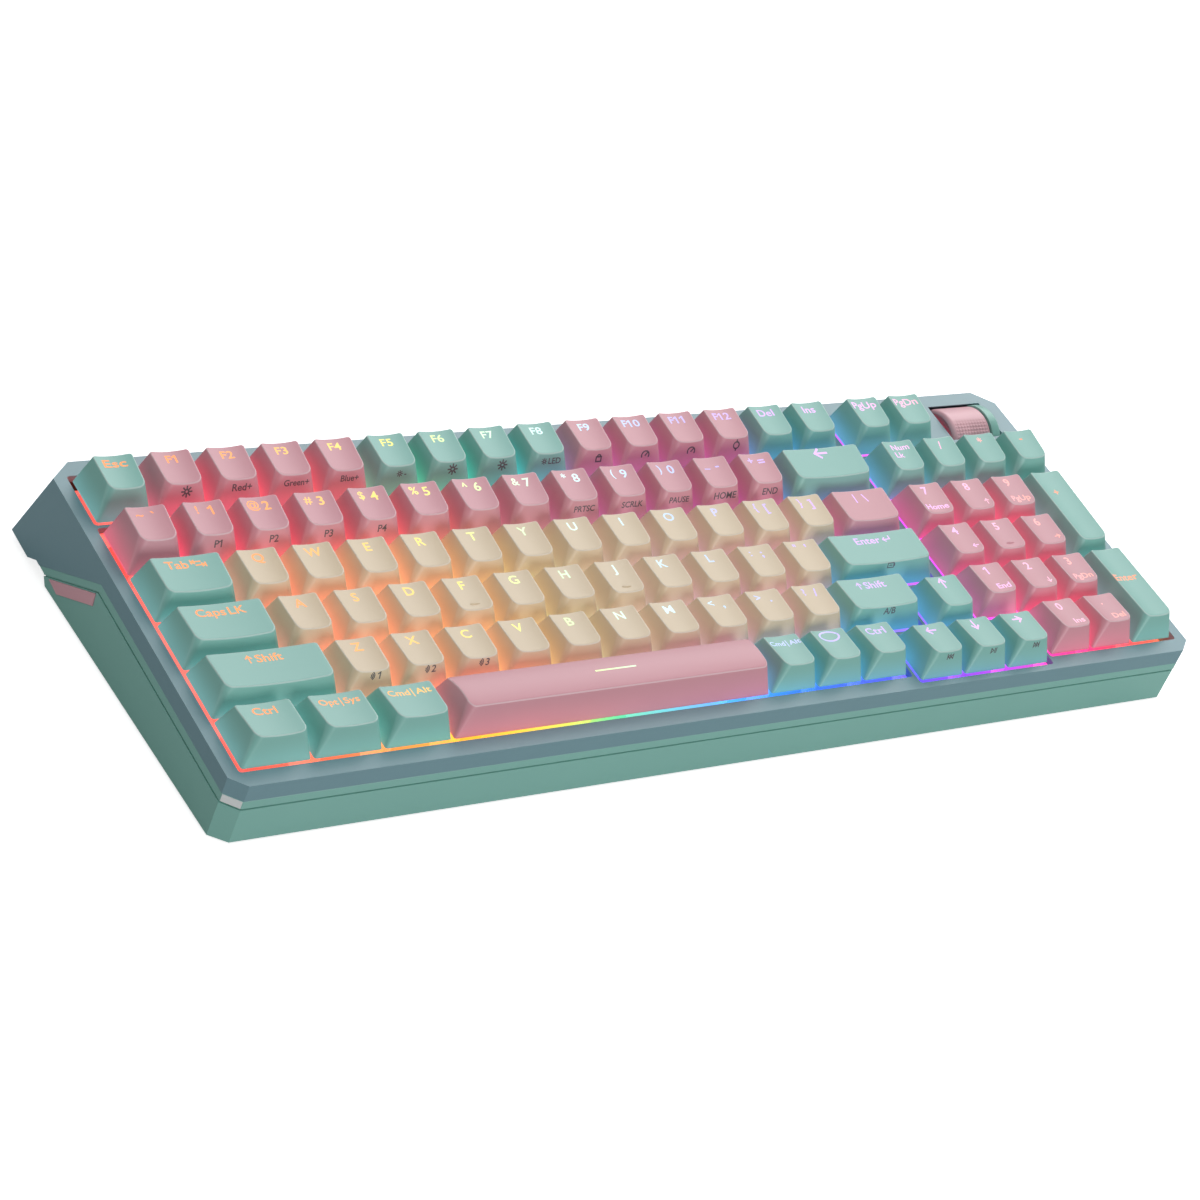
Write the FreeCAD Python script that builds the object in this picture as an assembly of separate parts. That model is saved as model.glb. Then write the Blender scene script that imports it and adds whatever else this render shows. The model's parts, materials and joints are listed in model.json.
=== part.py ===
import FreeCAD, Part
import math
import os

from FreeCAD import Vector

# Compact full-width mechanical keyboard with a roller dial, in millimetres.
# Everything is modelled in "key space": X to the right, Y towards the back along the rows of keys,
# Z square to the rows, with Z = 0 at the rims of the resting keycaps and Y = 0 at the front of the
# lowest letter-block row. place() then tilts key space by the typing angle and sets it on its feet.

# ---- driving dimensions: key layout -------------------------------------------------------------
KEY_PITCH = 19.05
CAP_SIDE_GAP = 0.45          # from a keycap's rim to the edge of its unit cell
LETTER_BLOCK_UNITS = 15.0
CLUSTER_GAP = 3.05           # offset of the arrow keys and of the function row
KEYPAD_GAP = 5.87
KEYPAD_UNITS = 4.0
TYPING_ANGLE = 4.6           # degrees, face of the keys to the desk

# ---- driving dimensions: case -------------------------------------------------------------------
SIDE_BEZEL = 5.3             # cell edge to the case's side
FRONT_BEZEL = 6.25           # cell edge of the lowest row to the case's front, at the face
REAR_BEZEL = 6.85            # cell edge of the function row to the case's rear, at the face
FACE_HEIGHT = 0.6            # the cover's face above the cap rims
CASE_DEPTH = 21.2            # cap rims to the underside, below Y = 0
CASE_WALL = 2.4
REAR_SLOPE = 0.335           # how far the rear face leans back per millimetre of drop
FRONT_CHAMFER = (5.0, 4.2)   # across, along
REAR_CHAMFER = (7.5, 6.3)
COVER_BAND = 5.8             # height of the cover's side band
MIDDLE_BAND = 2.9            # height of the middle frame's band
GROOVE_WIDTH = 0.5
GROOVE_DEPTH = 0.7
OPENING_CLEARANCE = 0.95     # cover opening beyond a key's cell
OPENING_RADIUS = 1.1
FLANK_START = 44.85          # from the case's rear edge to where the cover's flank starts to drop
FLANK_SLOPE = 0.715          # drop of the flank per millimetre towards the rear
HEEL_LENGTH = 15.0           # the cover's heel that reaches down to the desk at the rear
HEEL_LIFT = 0.7
HEEL_BEVEL = (4.6, 3.1)
HEEL_RADIUS = 3.5
ARCH_LENGTH = 8.2            # raised underside between the heel and the bottom case
ARCH_HEIGHT = 2.7

# ---- driving dimensions: switches and boards ----------------------------------------------------
KEY_TRAVEL = 4.0
PLATE_DROP = 6.3             # cap rim to the top of the switch plate
PLATE_THICKNESS = 1.5
PLATE_HOLE = 14.0
SWITCH_FIT = 0.05            # switch housing in its plate hole, per side
SWITCH_DEPTH = 5.0           # plate top to circuit board
BOARD_THICKNESS = 1.6
SWITCH_RISE = 6.6            # housing top above the plate top
STEM_POST_RADIUS = 2.75
STEM_CROSS = (4.0, 1.2)
CROSS_FIT = 0.05
GASKET_THICKNESS = 2.0
BOARD_MARGIN = 0.6
CAVITY_CLEARANCE = 0.6

# ---- driving dimensions: keycaps ----------------------------------------------------------------
CAP_WALL = 1.5
CAP_ROOF = 1.9
DISH_DEPTH = 0.8
RIM_RADIUS = 0.8
FRONT_CORNER_RADIUS = 2.6
BACK_CORNER_RADIUS = 1.0
FRONT_SIDE_INSET = 3.1
BACK_SIDE_INSET = 2.5
# per row, counted from the back: front edge height and setback, back edge height and setback
ROW_PROFILES = [
    (10.4, 3.9, 11.3, 1.5),
    (10.8, 4.0, 11.8, 1.7),
    (9.3, 3.2, 9.7, 1.7),
    (9.2, 3.1, 9.1, 1.7),
    (9.6, 3.0, 9.1, 1.9),
    (10.1, 2.8, 8.8, 2.1),
]
SPACE_CROWN = 1.0
POST_MOUTH = 3.8             # depth of the cross-shaped mouth in a cap's post
CROSS_LENGTH = 3.6           # height of a slider's cross

# ---- driving dimensions: dial -------------------------------------------------------------------
DIAL_RADIUS = 11.0
DIAL_WIDTH = 17.6
DIAL_RISE = 3.25             # crest above the cap rims
DIAL_RIGHT = 7.8             # from the roller's right end to the end of the key cells
DIAL_BACK = 7.25             # from the roller's axis to the back of the function row's cells
HOOD_WIDTH = 4.8
HOOD_MARGIN = 0.45
DIAL_GAP = 0.4
POCKET_MARGIN = 1.4
SHAFT_RADIUS = 1.5
SHAFT_CLEARANCE = 0.05
DIAL_EAR = (1.0, 2.6)        # gap from the roller's end, thickness
EAR_RADIUS = 4.0
CARRIAGE_BASE = (12.0, 1.6, 0.8)     # depth, thickness, gap below the roller
ENCODER_SIZE = (3.0, 9.0, 5.0, 4.0)  # across, along, below and above the shaft

# ---- driving dimensions: stands, socket and fasteners -------------------------------------------
FOOT_STAND = 1.0
RUBBER_FOOT = (24.0, 8.0)
RUBBER_FOOT_INSET = (30.0, 12.0)     # from the case's side and front
RUBBER_FOOT_REAR = 20.0      # behind the start of the flank
FLIP_FOOT = (26.0, 24.0, 4.2)
FLIP_FOOT_SPACING = 250.0
FLIP_FOOT_CLEARANCE = 0.5
FINGER_NOTCH = 9.0           # room in front of a folded foot's toe
HINGE_RADIUS = 1.5
HINGE_CLEARANCE = 0.1
HINGE_STUB = 1.9
SOCKET_SIZE = (8.94, 7.3, 3.2)
SOCKET_FROM_LEFT = 62.0
SOCKET_DROP = 13.6
MODE_KNOB = (3.0, 5.2, 1.8)
MODE_KNOB_FROM_SOCKET = 8.0  # beyond the inlet's width
MODE_TRAVEL = 4.0
MODE_HOUSING = (3.0, 4.0, 3.4)       # beyond the knob's travel, depth, height
REAR_WALL_GAP = 1.2          # from the rear wall to the socket board
SOCKET_BOARD = (10.0, 32.0, 1.2)     # left and right of the inlet, thickness
SCREW_RADIUS = 1.0
SCREW_HEAD_RADIUS = 2.0
SCREW_HEAD = (1.1, 1.4)      # height of the head, depth of its counterbore
STANDOFF_RADIUS = 2.4

# ---- driving dimensions: badge, gaskets and wires -----------------------------------------------
BADGE_SIZE = (28.0, 3.9)     # along the flank, down it
BADGE_SLANT = (4.6, 1.84)    # rear and front ends
BADGE_START = (1.0, 0.35)    # along and down from the flank's bend
BADGE_PROUD = 0.25
BADGE_SINK = 1.0
GASKET_STRIP = (1.4, 16.0)   # across, along
GASKET_ROW = (10.0, 30.0, 3) # first place, spacing, count
WIRE_RADIUS = 0.8
WIRE_DROP = 1.2              # below the switch plate
WIRE_SETBACK = 8.6           # in front of the key's middle

# ---- derived layout -----------------------------------------------------------------------------
KEYPAD_START = LETTER_BLOCK_UNITS * KEY_PITCH + KEYPAD_GAP
LAYOUT_WIDTH = KEYPAD_START + KEYPAD_UNITS * KEY_PITCH
FUNCTION_ROW_FRONT = 5 * KEY_PITCH + CLUSTER_GAP
LAYOUT_BACK = FUNCTION_ROW_FRONT + KEY_PITCH
CASE_LEFT = -SIDE_BEZEL
CASE_RIGHT = LAYOUT_WIDTH + SIDE_BEZEL
CASE_FRONT = -FRONT_BEZEL
CASE_REAR = LAYOUT_BACK + REAR_BEZEL
PLATE_MARGIN = SIDE_BEZEL - CASE_WALL - CAVITY_CLEARANCE
TILT_RATIO = math.tan(math.radians(TYPING_ANGLE))
PLATE_TOP = -PLATE_DROP
PLATE_BOTTOM = PLATE_TOP - PLATE_THICKNESS
BOARD_TOP = PLATE_TOP - SWITCH_DEPTH
BOARD_BOTTOM = BOARD_TOP - BOARD_THICKNESS
HOUSING_TOP = PLATE_TOP + SWITCH_RISE
HULL_BOTTOM = -CASE_DEPTH - TILT_RATIO * (CASE_REAR + 20.0)


def underside(y):
    """Height of the flat underside, parallel to the desk, at a place along the case."""
    return -CASE_DEPTH - TILT_RATIO * y


# ---- small helpers ------------------------------------------------------------------------------
def box(x0, x1, y0, y1, z0, z1):
    """Box between three pairs of limits."""
    return Part.makeBox(x1 - x0, y1 - y0, z1 - z0, Vector(x0, y0, z0))


def centred_box(cx, cy, width, depth, z0, z1):
    """Box centred on (cx, cy) between two heights."""
    return box(cx - width / 2, cx + width / 2, cy - depth / 2, cy + depth / 2, z0, z1)


def upright(cx, cy, radius, z0, z1):
    """Cylinder square to the key plane."""
    return Part.makeCylinder(radius, z1 - z0, Vector(cx, cy, z0))


def across(radius, x0, x1, y, z):
    """Cylinder along X."""
    return Part.makeCylinder(radius, x1 - x0, Vector(x0, y, z), Vector(1, 0, 0))


def side_prism(outline, x0=None, x1=None):
    """Side-view outline of (y, z) points, drawn out across the keyboard."""
    x0 = CASE_LEFT - 10.0 if x0 is None else x0
    x1 = CASE_RIGHT + 10.0 if x1 is None else x1
    points = [Vector(x0, y, z) for y, z in outline]
    face = Part.Face(Part.makePolygon(points + [points[0]]))
    return face.extrude(Vector(x1 - x0, 0, 0))


def rounded_wire(points, radii):
    """Closed wire through points, each corner rounded by its own radius."""
    count = len(points)
    starts, middles, ends = [], [], []
    for index, corner in enumerate(points):
        before = (points[index - 1] - corner).normalize()
        after = (points[(index + 1) % count] - corner).normalize()
        half = before.getAngle(after) / 2
        reach = radii[index] / math.tan(half)
        bisector = (before + after).normalize()
        starts.append(corner + before * reach)
        ends.append(corner + after * reach)
        middles.append(corner + bisector * (radii[index] / math.sin(half) - radii[index]))
    edges = []
    for index in range(count):
        edges.append(Part.Arc(starts[index], middles[index], ends[index]).toShape())
        edges.append(Part.makeLine(ends[index], starts[(index + 1) % count]))
    return Part.Wire(edges)


def fuse_all(shapes):
    """One shape from overlapping or separate shapes."""
    if len(shapes) == 1:
        return shapes[0]
    return shapes[0].multiFuse(shapes[1:])


def cut_all(shape, tools):
    """Shape with every tool cut away."""
    return shape.cut(tools) if tools else shape


# ---- key layout ---------------------------------------------------------------------------------
class Key:
    """One key: its node, its cell's left front corner, its size in units and its row."""

    def __init__(self, node, left, front, width, depth, row):
        self.node = node
        self.left = left
        self.front = front
        self.width = width
        self.depth = depth
        self.row = row
        self.cx = left + width * KEY_PITCH / 2
        self.cy = front + depth * KEY_PITCH / 2

    def stabiliser_offset(self):
        """Distance from the switch to each stabiliser, or nothing on a short key."""
        longest = max(self.width, self.depth)
        if longest < 2.0:
            return None
        return 50.0 if longest > 6.0 else 11.94

    def stabiliser_places(self):
        """Centres of the two stabilisers."""
        offset = self.stabiliser_offset()
        if offset is None:
            return []
        if self.depth > self.width:
            return [(self.cx, self.cy - offset), (self.cx, self.cy + offset)]
        return [(self.cx - offset, self.cy), (self.cx + offset, self.cy)]


def row_front(row):
    """Front edge of a row's cells, rows counted from the back."""
    return FUNCTION_ROW_FRONT if row == 0 else (5 - row) * KEY_PITCH


def run_of_keys(left, front, row, runs):
    """Keys side by side from (node, count, width) runs."""
    keys = []
    for node, count, width in runs:
        for _ in range(count):
            keys.append(Key(node, left, front, width, 1.0, row))
            left += width * KEY_PITCH
    return keys


def all_keys():
    """Every key of the layout."""
    keys = []
    letter_rows = [
        [("key_escape", 1, 1), ("keys_f1_f4", 4, 1), ("keys_f5_f8", 4, 1), ("keys_f9_f12", 4, 1),
         ("keys_editing", 2, 1)],
        [("keys_numbers", 13, 1), ("key_backspace", 1, 2)],
        [("key_tab", 1, 1.5), ("keys_upper_letters", 12, 1), ("key_backslash", 1, 1.5)],
        [("key_caps_lock", 1, 1.75), ("keys_home_letters", 11, 1), ("key_enter", 1, 2.25)],
        [("key_left_shift", 1, 2.25), ("keys_lower_letters", 10, 1), ("key_right_shift", 1, 1.75)],
        [("key_left_control", 1, 1.25), ("key_system", 1, 1.25), ("key_left_alt", 1, 1.25),
         ("key_space", 1, 6.25), ("key_right_alt", 1, 1), ("key_function", 1, 1),
         ("key_right_control", 1, 1)],
    ]
    for row, runs in enumerate(letter_rows):
        keys += run_of_keys(0.0, row_front(row), row, runs)
    arrows_left = 13 * KEY_PITCH + CLUSTER_GAP
    arrow_runs = [("key_arrow_left", 1, 1), ("key_arrow_down", 1, 1), ("key_arrow_right", 1, 1)]
    keys += run_of_keys(arrows_left, -CLUSTER_GAP, 5, arrow_runs)
    keys += run_of_keys(arrows_left + KEY_PITCH, KEY_PITCH - CLUSTER_GAP, 4, [("key_arrow_up", 1, 1)])
    keypad_rows = {
        0: (0, [("keys_editing", 2, 1)]),
        1: (0, [("keys_keypad_operators", 4, 1)]),
        2: (0, [("keys_keypad_789", 3, 1)]),
        3: (0, [("keys_keypad_456", 3, 1)]),
        4: (0, [("keys_keypad_123_0", 3, 1)]),
        5: (1, [("keys_keypad_123_0", 2, 1)]),
    }
    for row, (skip, runs) in keypad_rows.items():
        keys += run_of_keys(KEYPAD_START + skip * KEY_PITCH, row_front(row), row, runs)
    last_column = KEYPAD_START + 3 * KEY_PITCH
    keys.append(Key("key_keypad_plus", last_column, row_front(3), 1.0, 2.0, 3))
    keys.append(Key("key_keypad_enter", last_column, row_front(5), 1.0, 2.0, 4))
    return keys


# ---- case ---------------------------------------------------------------------------------------
def plan_outline(z, inset):
    """Case outline at a height, moved in by an inset, with its four cut corners."""
    drop = FACE_HEIGHT - z
    left, right = CASE_LEFT + inset, CASE_RIGHT - inset
    front = CASE_FRONT - TILT_RATIO * drop + inset
    rear = CASE_REAR + REAR_SLOPE * drop - inset
    front_x, front_y = FRONT_CHAMFER
    rear_x, rear_y = REAR_CHAMFER
    points = [
        (left + front_x, front), (right - front_x, front), (right, front + front_y),
        (right, rear - rear_y), (right - rear_x, rear), (left + rear_x, rear),
        (left, rear - rear_y), (left, front + front_y),
    ]
    return Part.makePolygon([Vector(x, y, z) for x, y in points + [points[0]]])


def underside_outline(lift):
    """Side-view outline of everything above the case's underside, raised by lift."""
    heel_rear = CASE_REAR + 30.0
    heel_front = CASE_REAR + REAR_SLOPE * CASE_DEPTH - HEEL_LENGTH
    heel_level = underside(heel_front) + HEEL_LIFT
    bevel_y, bevel_z = HEEL_BEVEL
    arch_rear = heel_front - bevel_y
    arch_front = arch_rear - ARCH_LENGTH
    arch_level = heel_level + bevel_z
    front = CASE_FRONT - 20.0
    return [
        (front, FACE_HEIGHT + 20.0), (front, underside(front) + lift),
        (arch_front, underside(arch_front) + lift),
        (arch_front + ARCH_HEIGHT - lift / 2, arch_level + lift), (arch_rear, arch_level + lift),
        (heel_front, heel_level + lift), (heel_rear, heel_level + lift),
        (heel_rear, FACE_HEIGHT + 20.0),
    ]


def case_body(inset, top, lift):
    """Solid case: lofted plan, trimmed to the underside; inset makes the cavity."""
    loft = Part.makeLoft([plan_outline(top, inset), plan_outline(HULL_BOTTOM, inset)], True, True)
    body = loft.common(side_prism(underside_outline(lift)))
    heel = body.BoundBox.YMax - 0.6 * REAR_CHAMFER[1]
    rear_edges = [edge for edge in body.Edges
                  if edge.CenterOfMass.y > heel and edge.CenterOfMass.z < -CASE_DEPTH
                  and abs(edge.Vertexes[0].X - edge.Vertexes[-1].X) > CASE_RIGHT / 2]
    return body.makeFillet(HEEL_RADIUS, rear_edges)


def flank_line(drop):
    """Points of a line that follows the case's side band and then its dropping flank."""
    level = FACE_HEIGHT - drop
    bend = CASE_REAR - FLANK_START
    bottom = underside(CASE_REAR) - 10.0
    end = bend + (level - bottom) / FLANK_SLOPE
    return [(CASE_FRONT - 20.0, level), (bend, level), (end, bottom)]


def zone_above(line):
    """Side-view prism above and behind a flank line."""
    far = CASE_REAR + 60.0
    return side_prism(line + [(far, line[-1][1]), (far, FACE_HEIGHT + 30.0),
                              (line[0][0], FACE_HEIGHT + 30.0)])


def key_openings(keys):
    """Tool that opens the cover over every cluster of keys."""
    cells = []
    for key in keys:
        cells.append(box(key.left - OPENING_CLEARANCE,
                         key.left + key.width * KEY_PITCH + OPENING_CLEARANCE,
                         key.front - OPENING_CLEARANCE,
                         key.front + key.depth * KEY_PITCH + OPENING_CLEARANCE,
                         -CASE_WALL - 2.0, FACE_HEIGHT + 2.0))
    tool = fuse_all(cells).removeSplitter()
    upright_edges = [edge for edge in tool.Edges
                     if abs(edge.Vertexes[0].Z - edge.Vertexes[-1].Z) > 1.0]
    return tool.makeFillet(OPENING_RADIUS, upright_edges)


def dial_place():
    """Ends and axis of the dial roller."""
    right = LAYOUT_WIDTH - DIAL_RIGHT
    return right - DIAL_WIDTH, right, LAYOUT_BACK - DIAL_BACK, DIAL_RISE - DIAL_RADIUS


def dial_reach():
    """Half the length of the dial's pocket in the cover's face."""
    _, _, _, axis_z = dial_place()
    return math.sqrt(DIAL_RADIUS ** 2 - (FACE_HEIGHT - axis_z) ** 2) + POCKET_MARGIN


def dial_pocket():
    """Opening that the roller and its hood stand in, relieved to the roller's curve below."""
    left, right, axis_y, axis_z = dial_place()
    x0, x1 = left - POCKET_MARGIN, right + DIAL_GAP + HOOD_WIDTH + 0.2
    slot = box(x0, x1, axis_y - dial_reach(), axis_y + dial_reach(),
               -CASE_WALL - 2.0, FACE_HEIGHT + 2.0)
    return slot.fuse(across(DIAL_RADIUS + HOOD_MARGIN + 0.3, x0, x1, axis_y, axis_z))


def standoff_places():
    """Screw places that stay clear of every switch and stabiliser."""
    between_rows = 5 * KEY_PITCH + CLUSTER_GAP / 2
    low_row = KEY_PITCH / 2
    return [
        (3.77 * KEY_PITCH, low_row), (9.92 * KEY_PITCH, low_row),
        (13 * KEY_PITCH + CLUSTER_GAP / 2, low_row),
        (1.0 * KEY_PITCH, between_rows), (7.5 * KEY_PITCH, between_rows),
        (LETTER_BLOCK_UNITS * KEY_PITCH + KEYPAD_GAP / 2, between_rows),
    ]


def case_shell():
    """Hollow case before it is divided into cover, middle frame and bottom."""
    cavity = case_body(CASE_WALL, FACE_HEIGHT - CASE_WALL, CASE_WALL)
    return case_body(0.0, FACE_HEIGHT, 0.0).cut(cavity)


def socket_centre():
    """Place of the inlet's middle, across and in height."""
    return SOCKET_FROM_LEFT + CASE_LEFT, -SOCKET_DROP


def rear_face(z):
    """Outer face of the case's sloping rear at a height."""
    return CASE_REAR + REAR_SLOPE * (FACE_HEIGHT - z)


def mode_knob_centre():
    """Rest place of the mode switch's knob, across and in height."""
    socket_x, socket_z = socket_centre()
    return socket_x + SOCKET_SIZE[0] + MODE_KNOB_FROM_SOCKET, socket_z


def top_cover(shell, keys):
    """Cover with the face, its ribs, the side bands and the sloping rear."""
    cover = shell.common(zone_above(flank_line(COVER_BAND)))
    socket_x, socket_z = socket_centre()
    knob_x, knob_z = mode_knob_centre()
    wall = rear_face(socket_z)
    tools = [key_openings(keys), dial_pocket()]
    tools.append(centred_box(socket_x, wall, SOCKET_SIZE[0] + 1.0, 16.0,
                             socket_z - SOCKET_SIZE[2] / 2 - 0.5, socket_z + SOCKET_SIZE[2] / 2 + 0.5))
    tools.append(box(knob_x - MODE_KNOB[0] / 2 - 0.5, knob_x + MODE_KNOB[0] / 2 + MODE_TRAVEL + 0.5,
                     wall - 8.0, wall + 8.0,
                     knob_z - MODE_KNOB[2] / 2 - 0.4, knob_z + MODE_KNOB[2] / 2 + 0.4))
    return cut_all(cover, tools)


def middle_frame(shell):
    """Band between the cover and the bottom case, all the way round."""
    zone = zone_above(flank_line(COVER_BAND + MIDDLE_BAND))
    return shell.common(zone).cut(zone_above(flank_line(COVER_BAND)))


def bottom_case(shell):
    """Tray with the board ledges, screw standoffs and recesses for the flip-out feet."""
    split = zone_above(flank_line(COVER_BAND + MIDDLE_BAND))
    tray = shell.cut(split)
    groove = case_body(0.0, FACE_HEIGHT, 0.0).cut(case_body(GROOVE_DEPTH, FACE_HEIGHT, -1.0))
    groove = groove.common(zone_above(flank_line(COVER_BAND + MIDDLE_BAND + GROOVE_WIDTH)))
    tray = tray.cut(groove)
    ledge_top = PLATE_BOTTOM - GASKET_THICKNESS
    rear_stop = CASE_REAR - FLANK_START + 8.0
    additions = []
    for x0, x1 in ((CASE_LEFT + CASE_WALL, -PLATE_MARGIN + 1.6),
                   (LAYOUT_WIDTH + PLATE_MARGIN - 1.6, CASE_RIGHT - CASE_WALL)):
        additions.append(box(x0, x1, 0.0, rear_stop, ledge_top - 2.4, ledge_top))
    for x, y in standoff_places():
        additions.append(upright(x, y, STANDOFF_RADIUS, underside(y) + CASE_WALL / 2, PLATE_BOTTOM))
    tools = []
    for x, y in standoff_places():
        tools.append(upright(x, y, SCREW_RADIUS + 0.05, underside(y) - 5.0, PLATE_BOTTOM + 1.0))
        tools.append(upright(x, y, SCREW_HEAD_RADIUS + 0.1, underside(y) - 5.0,
                             underside(y) + SCREW_HEAD[1]))
    for side in (-1, 1):
        recess, roof = flip_foot_recess(side)
        additions.append(roof)
        tools.append(recess)
    inside = case_body(0.4, FACE_HEIGHT - CASE_WALL, 0.0)
    additions = [piece.common(inside).cut(split) for piece in additions]
    return cut_all(fuse_all([tray] + additions), tools + [badge_solid(0.08)])


# ---- flip-out feet ------------------------------------------------------------------------------
def flip_foot_frame(side):
    """Middle, hinge place and hinge height of one foot."""
    x = LAYOUT_WIDTH / 2 + side * FLIP_FOOT_SPACING / 2
    hinge_y = CASE_REAR - FLANK_START + 12.0
    return x, hinge_y, underside(hinge_y) + FLIP_FOOT[2] / 2


def desk_slab(x0, x1, y0, y1, low, high):
    """Slab parallel to the underside, between two heights above it."""
    outline = [(y0, underside(y0) + low), (y1, underside(y1) + low),
               (y1, underside(y1) + high), (y0, underside(y0) + high)]
    return side_prism(outline, x0, x1)


def flip_foot_recess(side):
    """Recess for one foot, and the raised roof above it."""
    x, hinge_y, hinge_z = flip_foot_frame(side)
    width, length, thickness = FLIP_FOOT
    gap = FLIP_FOOT_CLEARANCE
    half = width / 2 + gap
    back = hinge_y + thickness / 2 + gap + 0.6
    front = hinge_y - length - FINGER_NOTCH
    recess = desk_slab(x - half, x + half, front, back, -5.0, thickness + gap)
    pin = half + HINGE_STUB + 0.3
    pins = across(HINGE_RADIUS + HINGE_CLEARANCE, x - pin, x + pin, hinge_y, hinge_z)
    roof = desk_slab(x - half - 4.0, x + half + 4.0, front - CASE_WALL, back + CASE_WALL,
                     CASE_WALL / 2, thickness + gap + CASE_WALL)
    return recess.fuse(pins), roof


def flip_foot(side):
    """Folding foot with its two hinge stubs and rounded toe."""
    x, hinge_y, hinge_z = flip_foot_frame(side)
    width, length, thickness = FLIP_FOOT
    half = width / 2
    plate = desk_slab(x - half, x + half, hinge_y - length, hinge_y, 0.0, thickness)
    knuckle = across(thickness / 2, x - half, x + half, hinge_y, hinge_z)
    stubs = across(HINGE_RADIUS, x - half - HINGE_STUB, x + half + HINGE_STUB, hinge_y, hinge_z)
    relief = desk_slab(x - half + 4.0, x + half - 4.0, hinge_y - length + 4.0, hinge_y - 5.0,
                       1.8, thickness + 1.0)
    foot = fuse_all([plate, knuckle, stubs]).cut(relief)
    toe = [edge for edge in foot.Edges if abs(edge.CenterOfMass.y - (hinge_y - length)) < 0.6
           and abs(edge.Vertexes[0].X - edge.Vertexes[-1].X) > width - 1.0]
    return foot.makeFillet(1.2, toe)


def rubber_feet():
    """Four pads under the case."""
    length, depth = RUBBER_FOOT
    side_inset, front_inset = RUBBER_FOOT_INSET
    pads = []
    for x in (CASE_LEFT + side_inset, CASE_RIGHT - side_inset):
        for y in (CASE_FRONT + front_inset, CASE_REAR - FLANK_START + RUBBER_FOOT_REAR):
            pad = desk_slab(x - length / 2, x + length / 2, y - depth / 2, y + depth / 2,
                            -FOOT_STAND, 0.0)
            corners = [edge for edge in pad.Edges
                       if abs(edge.Vertexes[0].Z - edge.Vertexes[-1].Z) > 0.9 * FOOT_STAND]
            pads.append(pad.makeFillet(2.0, corners))
    return Part.makeCompound(pads)


def case_screws():
    """Screws from the underside into the plate's standoffs."""
    screws = []
    head_height, counterbore = SCREW_HEAD
    for x, y in standoff_places():
        head_top = underside(y) + counterbore
        head = upright(x, y, SCREW_HEAD_RADIUS, head_top - head_height, head_top)
        socket = upright(x, y, 0.8, head_top - 2.0, head_top - 0.5)
        shank = upright(x, y, SCREW_RADIUS, head_top - 0.2, PLATE_BOTTOM - 0.2)
        screws.append(head.cut(socket).fuse(shank))
    return Part.makeCompound(screws)


# ---- badge --------------------------------------------------------------------------------------
def badge_solid(growth):
    """Trapezoid plate let into the left flank, just below the groove."""
    line = COVER_BAND + MIDDLE_BAND + GROOVE_WIDTH
    bend = CASE_REAR - FLANK_START
    level = FACE_HEIGHT - line
    along = Vector(0, 1, -FLANK_SLOPE).normalize()
    down = Vector(0, -FLANK_SLOPE, -1).normalize()
    from_bend, below_groove = BADGE_START
    start = Vector(0, bend, level) + along * from_bend + down * (below_groove - growth)
    length, height = BADGE_SIZE
    rear_slant, front_slant = BADGE_SLANT
    corners = [
        start - along * growth, start + along * (length + growth),
        start + along * (length - rear_slant + growth) + down * (height + 2 * growth),
        start + along * (front_slant - growth) + down * (height + 2 * growth),
    ]
    points = [Vector(CASE_LEFT - BADGE_PROUD, p.y, p.z) for p in corners]
    face = Part.Face(Part.makePolygon(points + [points[0]]))
    return face.extrude(Vector(BADGE_PROUD + BADGE_SINK + growth, 0, 0))


# ---- plate, board and what is on them -----------------------------------------------------------
def dial_clearance_box(z0, z1):
    """Room that plate and board leave for the dial."""
    left, right, axis_y, _ = dial_place()
    reach = DIAL_RADIUS + 1.2
    return box(left - 4.6, CASE_RIGHT, axis_y - reach, LAYOUT_BACK + 20.0, z0, z1)


def switch_plate(keys):
    """Plate with a square hole for each switch and slots for the stabilisers."""
    plate = box(-PLATE_MARGIN, LAYOUT_WIDTH + PLATE_MARGIN, -CLUSTER_GAP - 0.4, LAYOUT_BACK + 1.5,
                PLATE_BOTTOM, PLATE_TOP)
    plate = plate.common(case_body(CASE_WALL + CAVITY_CLEARANCE, 0.0, 0.0))
    tools = [dial_clearance_box(PLATE_BOTTOM - 1.0, PLATE_TOP + 1.0)]
    for key in keys:
        tools.append(centred_box(key.cx, key.cy, PLATE_HOLE, PLATE_HOLE,
                                 PLATE_BOTTOM - 1.0, PLATE_TOP + 1.0))
        for x, y in key.stabiliser_places():
            width, depth = stabiliser_size(key)
            tools.append(centred_box(x, y, width + 0.2, depth + 0.2,
                                     PLATE_BOTTOM - 1.0, PLATE_TOP + 1.0))
    return cut_all(plate, tools)


def circuit_board(keys):
    """Main board with a locating hole for each switch."""
    board = box(-BOARD_MARGIN, LAYOUT_WIDTH + BOARD_MARGIN, -1.6, LAYOUT_BACK, BOARD_BOTTOM, BOARD_TOP)
    tools = [dial_clearance_box(BOARD_BOTTOM - 1.0, BOARD_TOP + 1.0)]
    for key in keys:
        tools.append(upright(key.cx, key.cy, 2.0, BOARD_BOTTOM - 1.0, BOARD_TOP + 1.0))
    for x, y in standoff_places():
        tools.append(upright(x, y, STANDOFF_RADIUS + 0.2, BOARD_BOTTOM - 1.0, BOARD_TOP + 1.0))
    return cut_all(board, tools)


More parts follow.
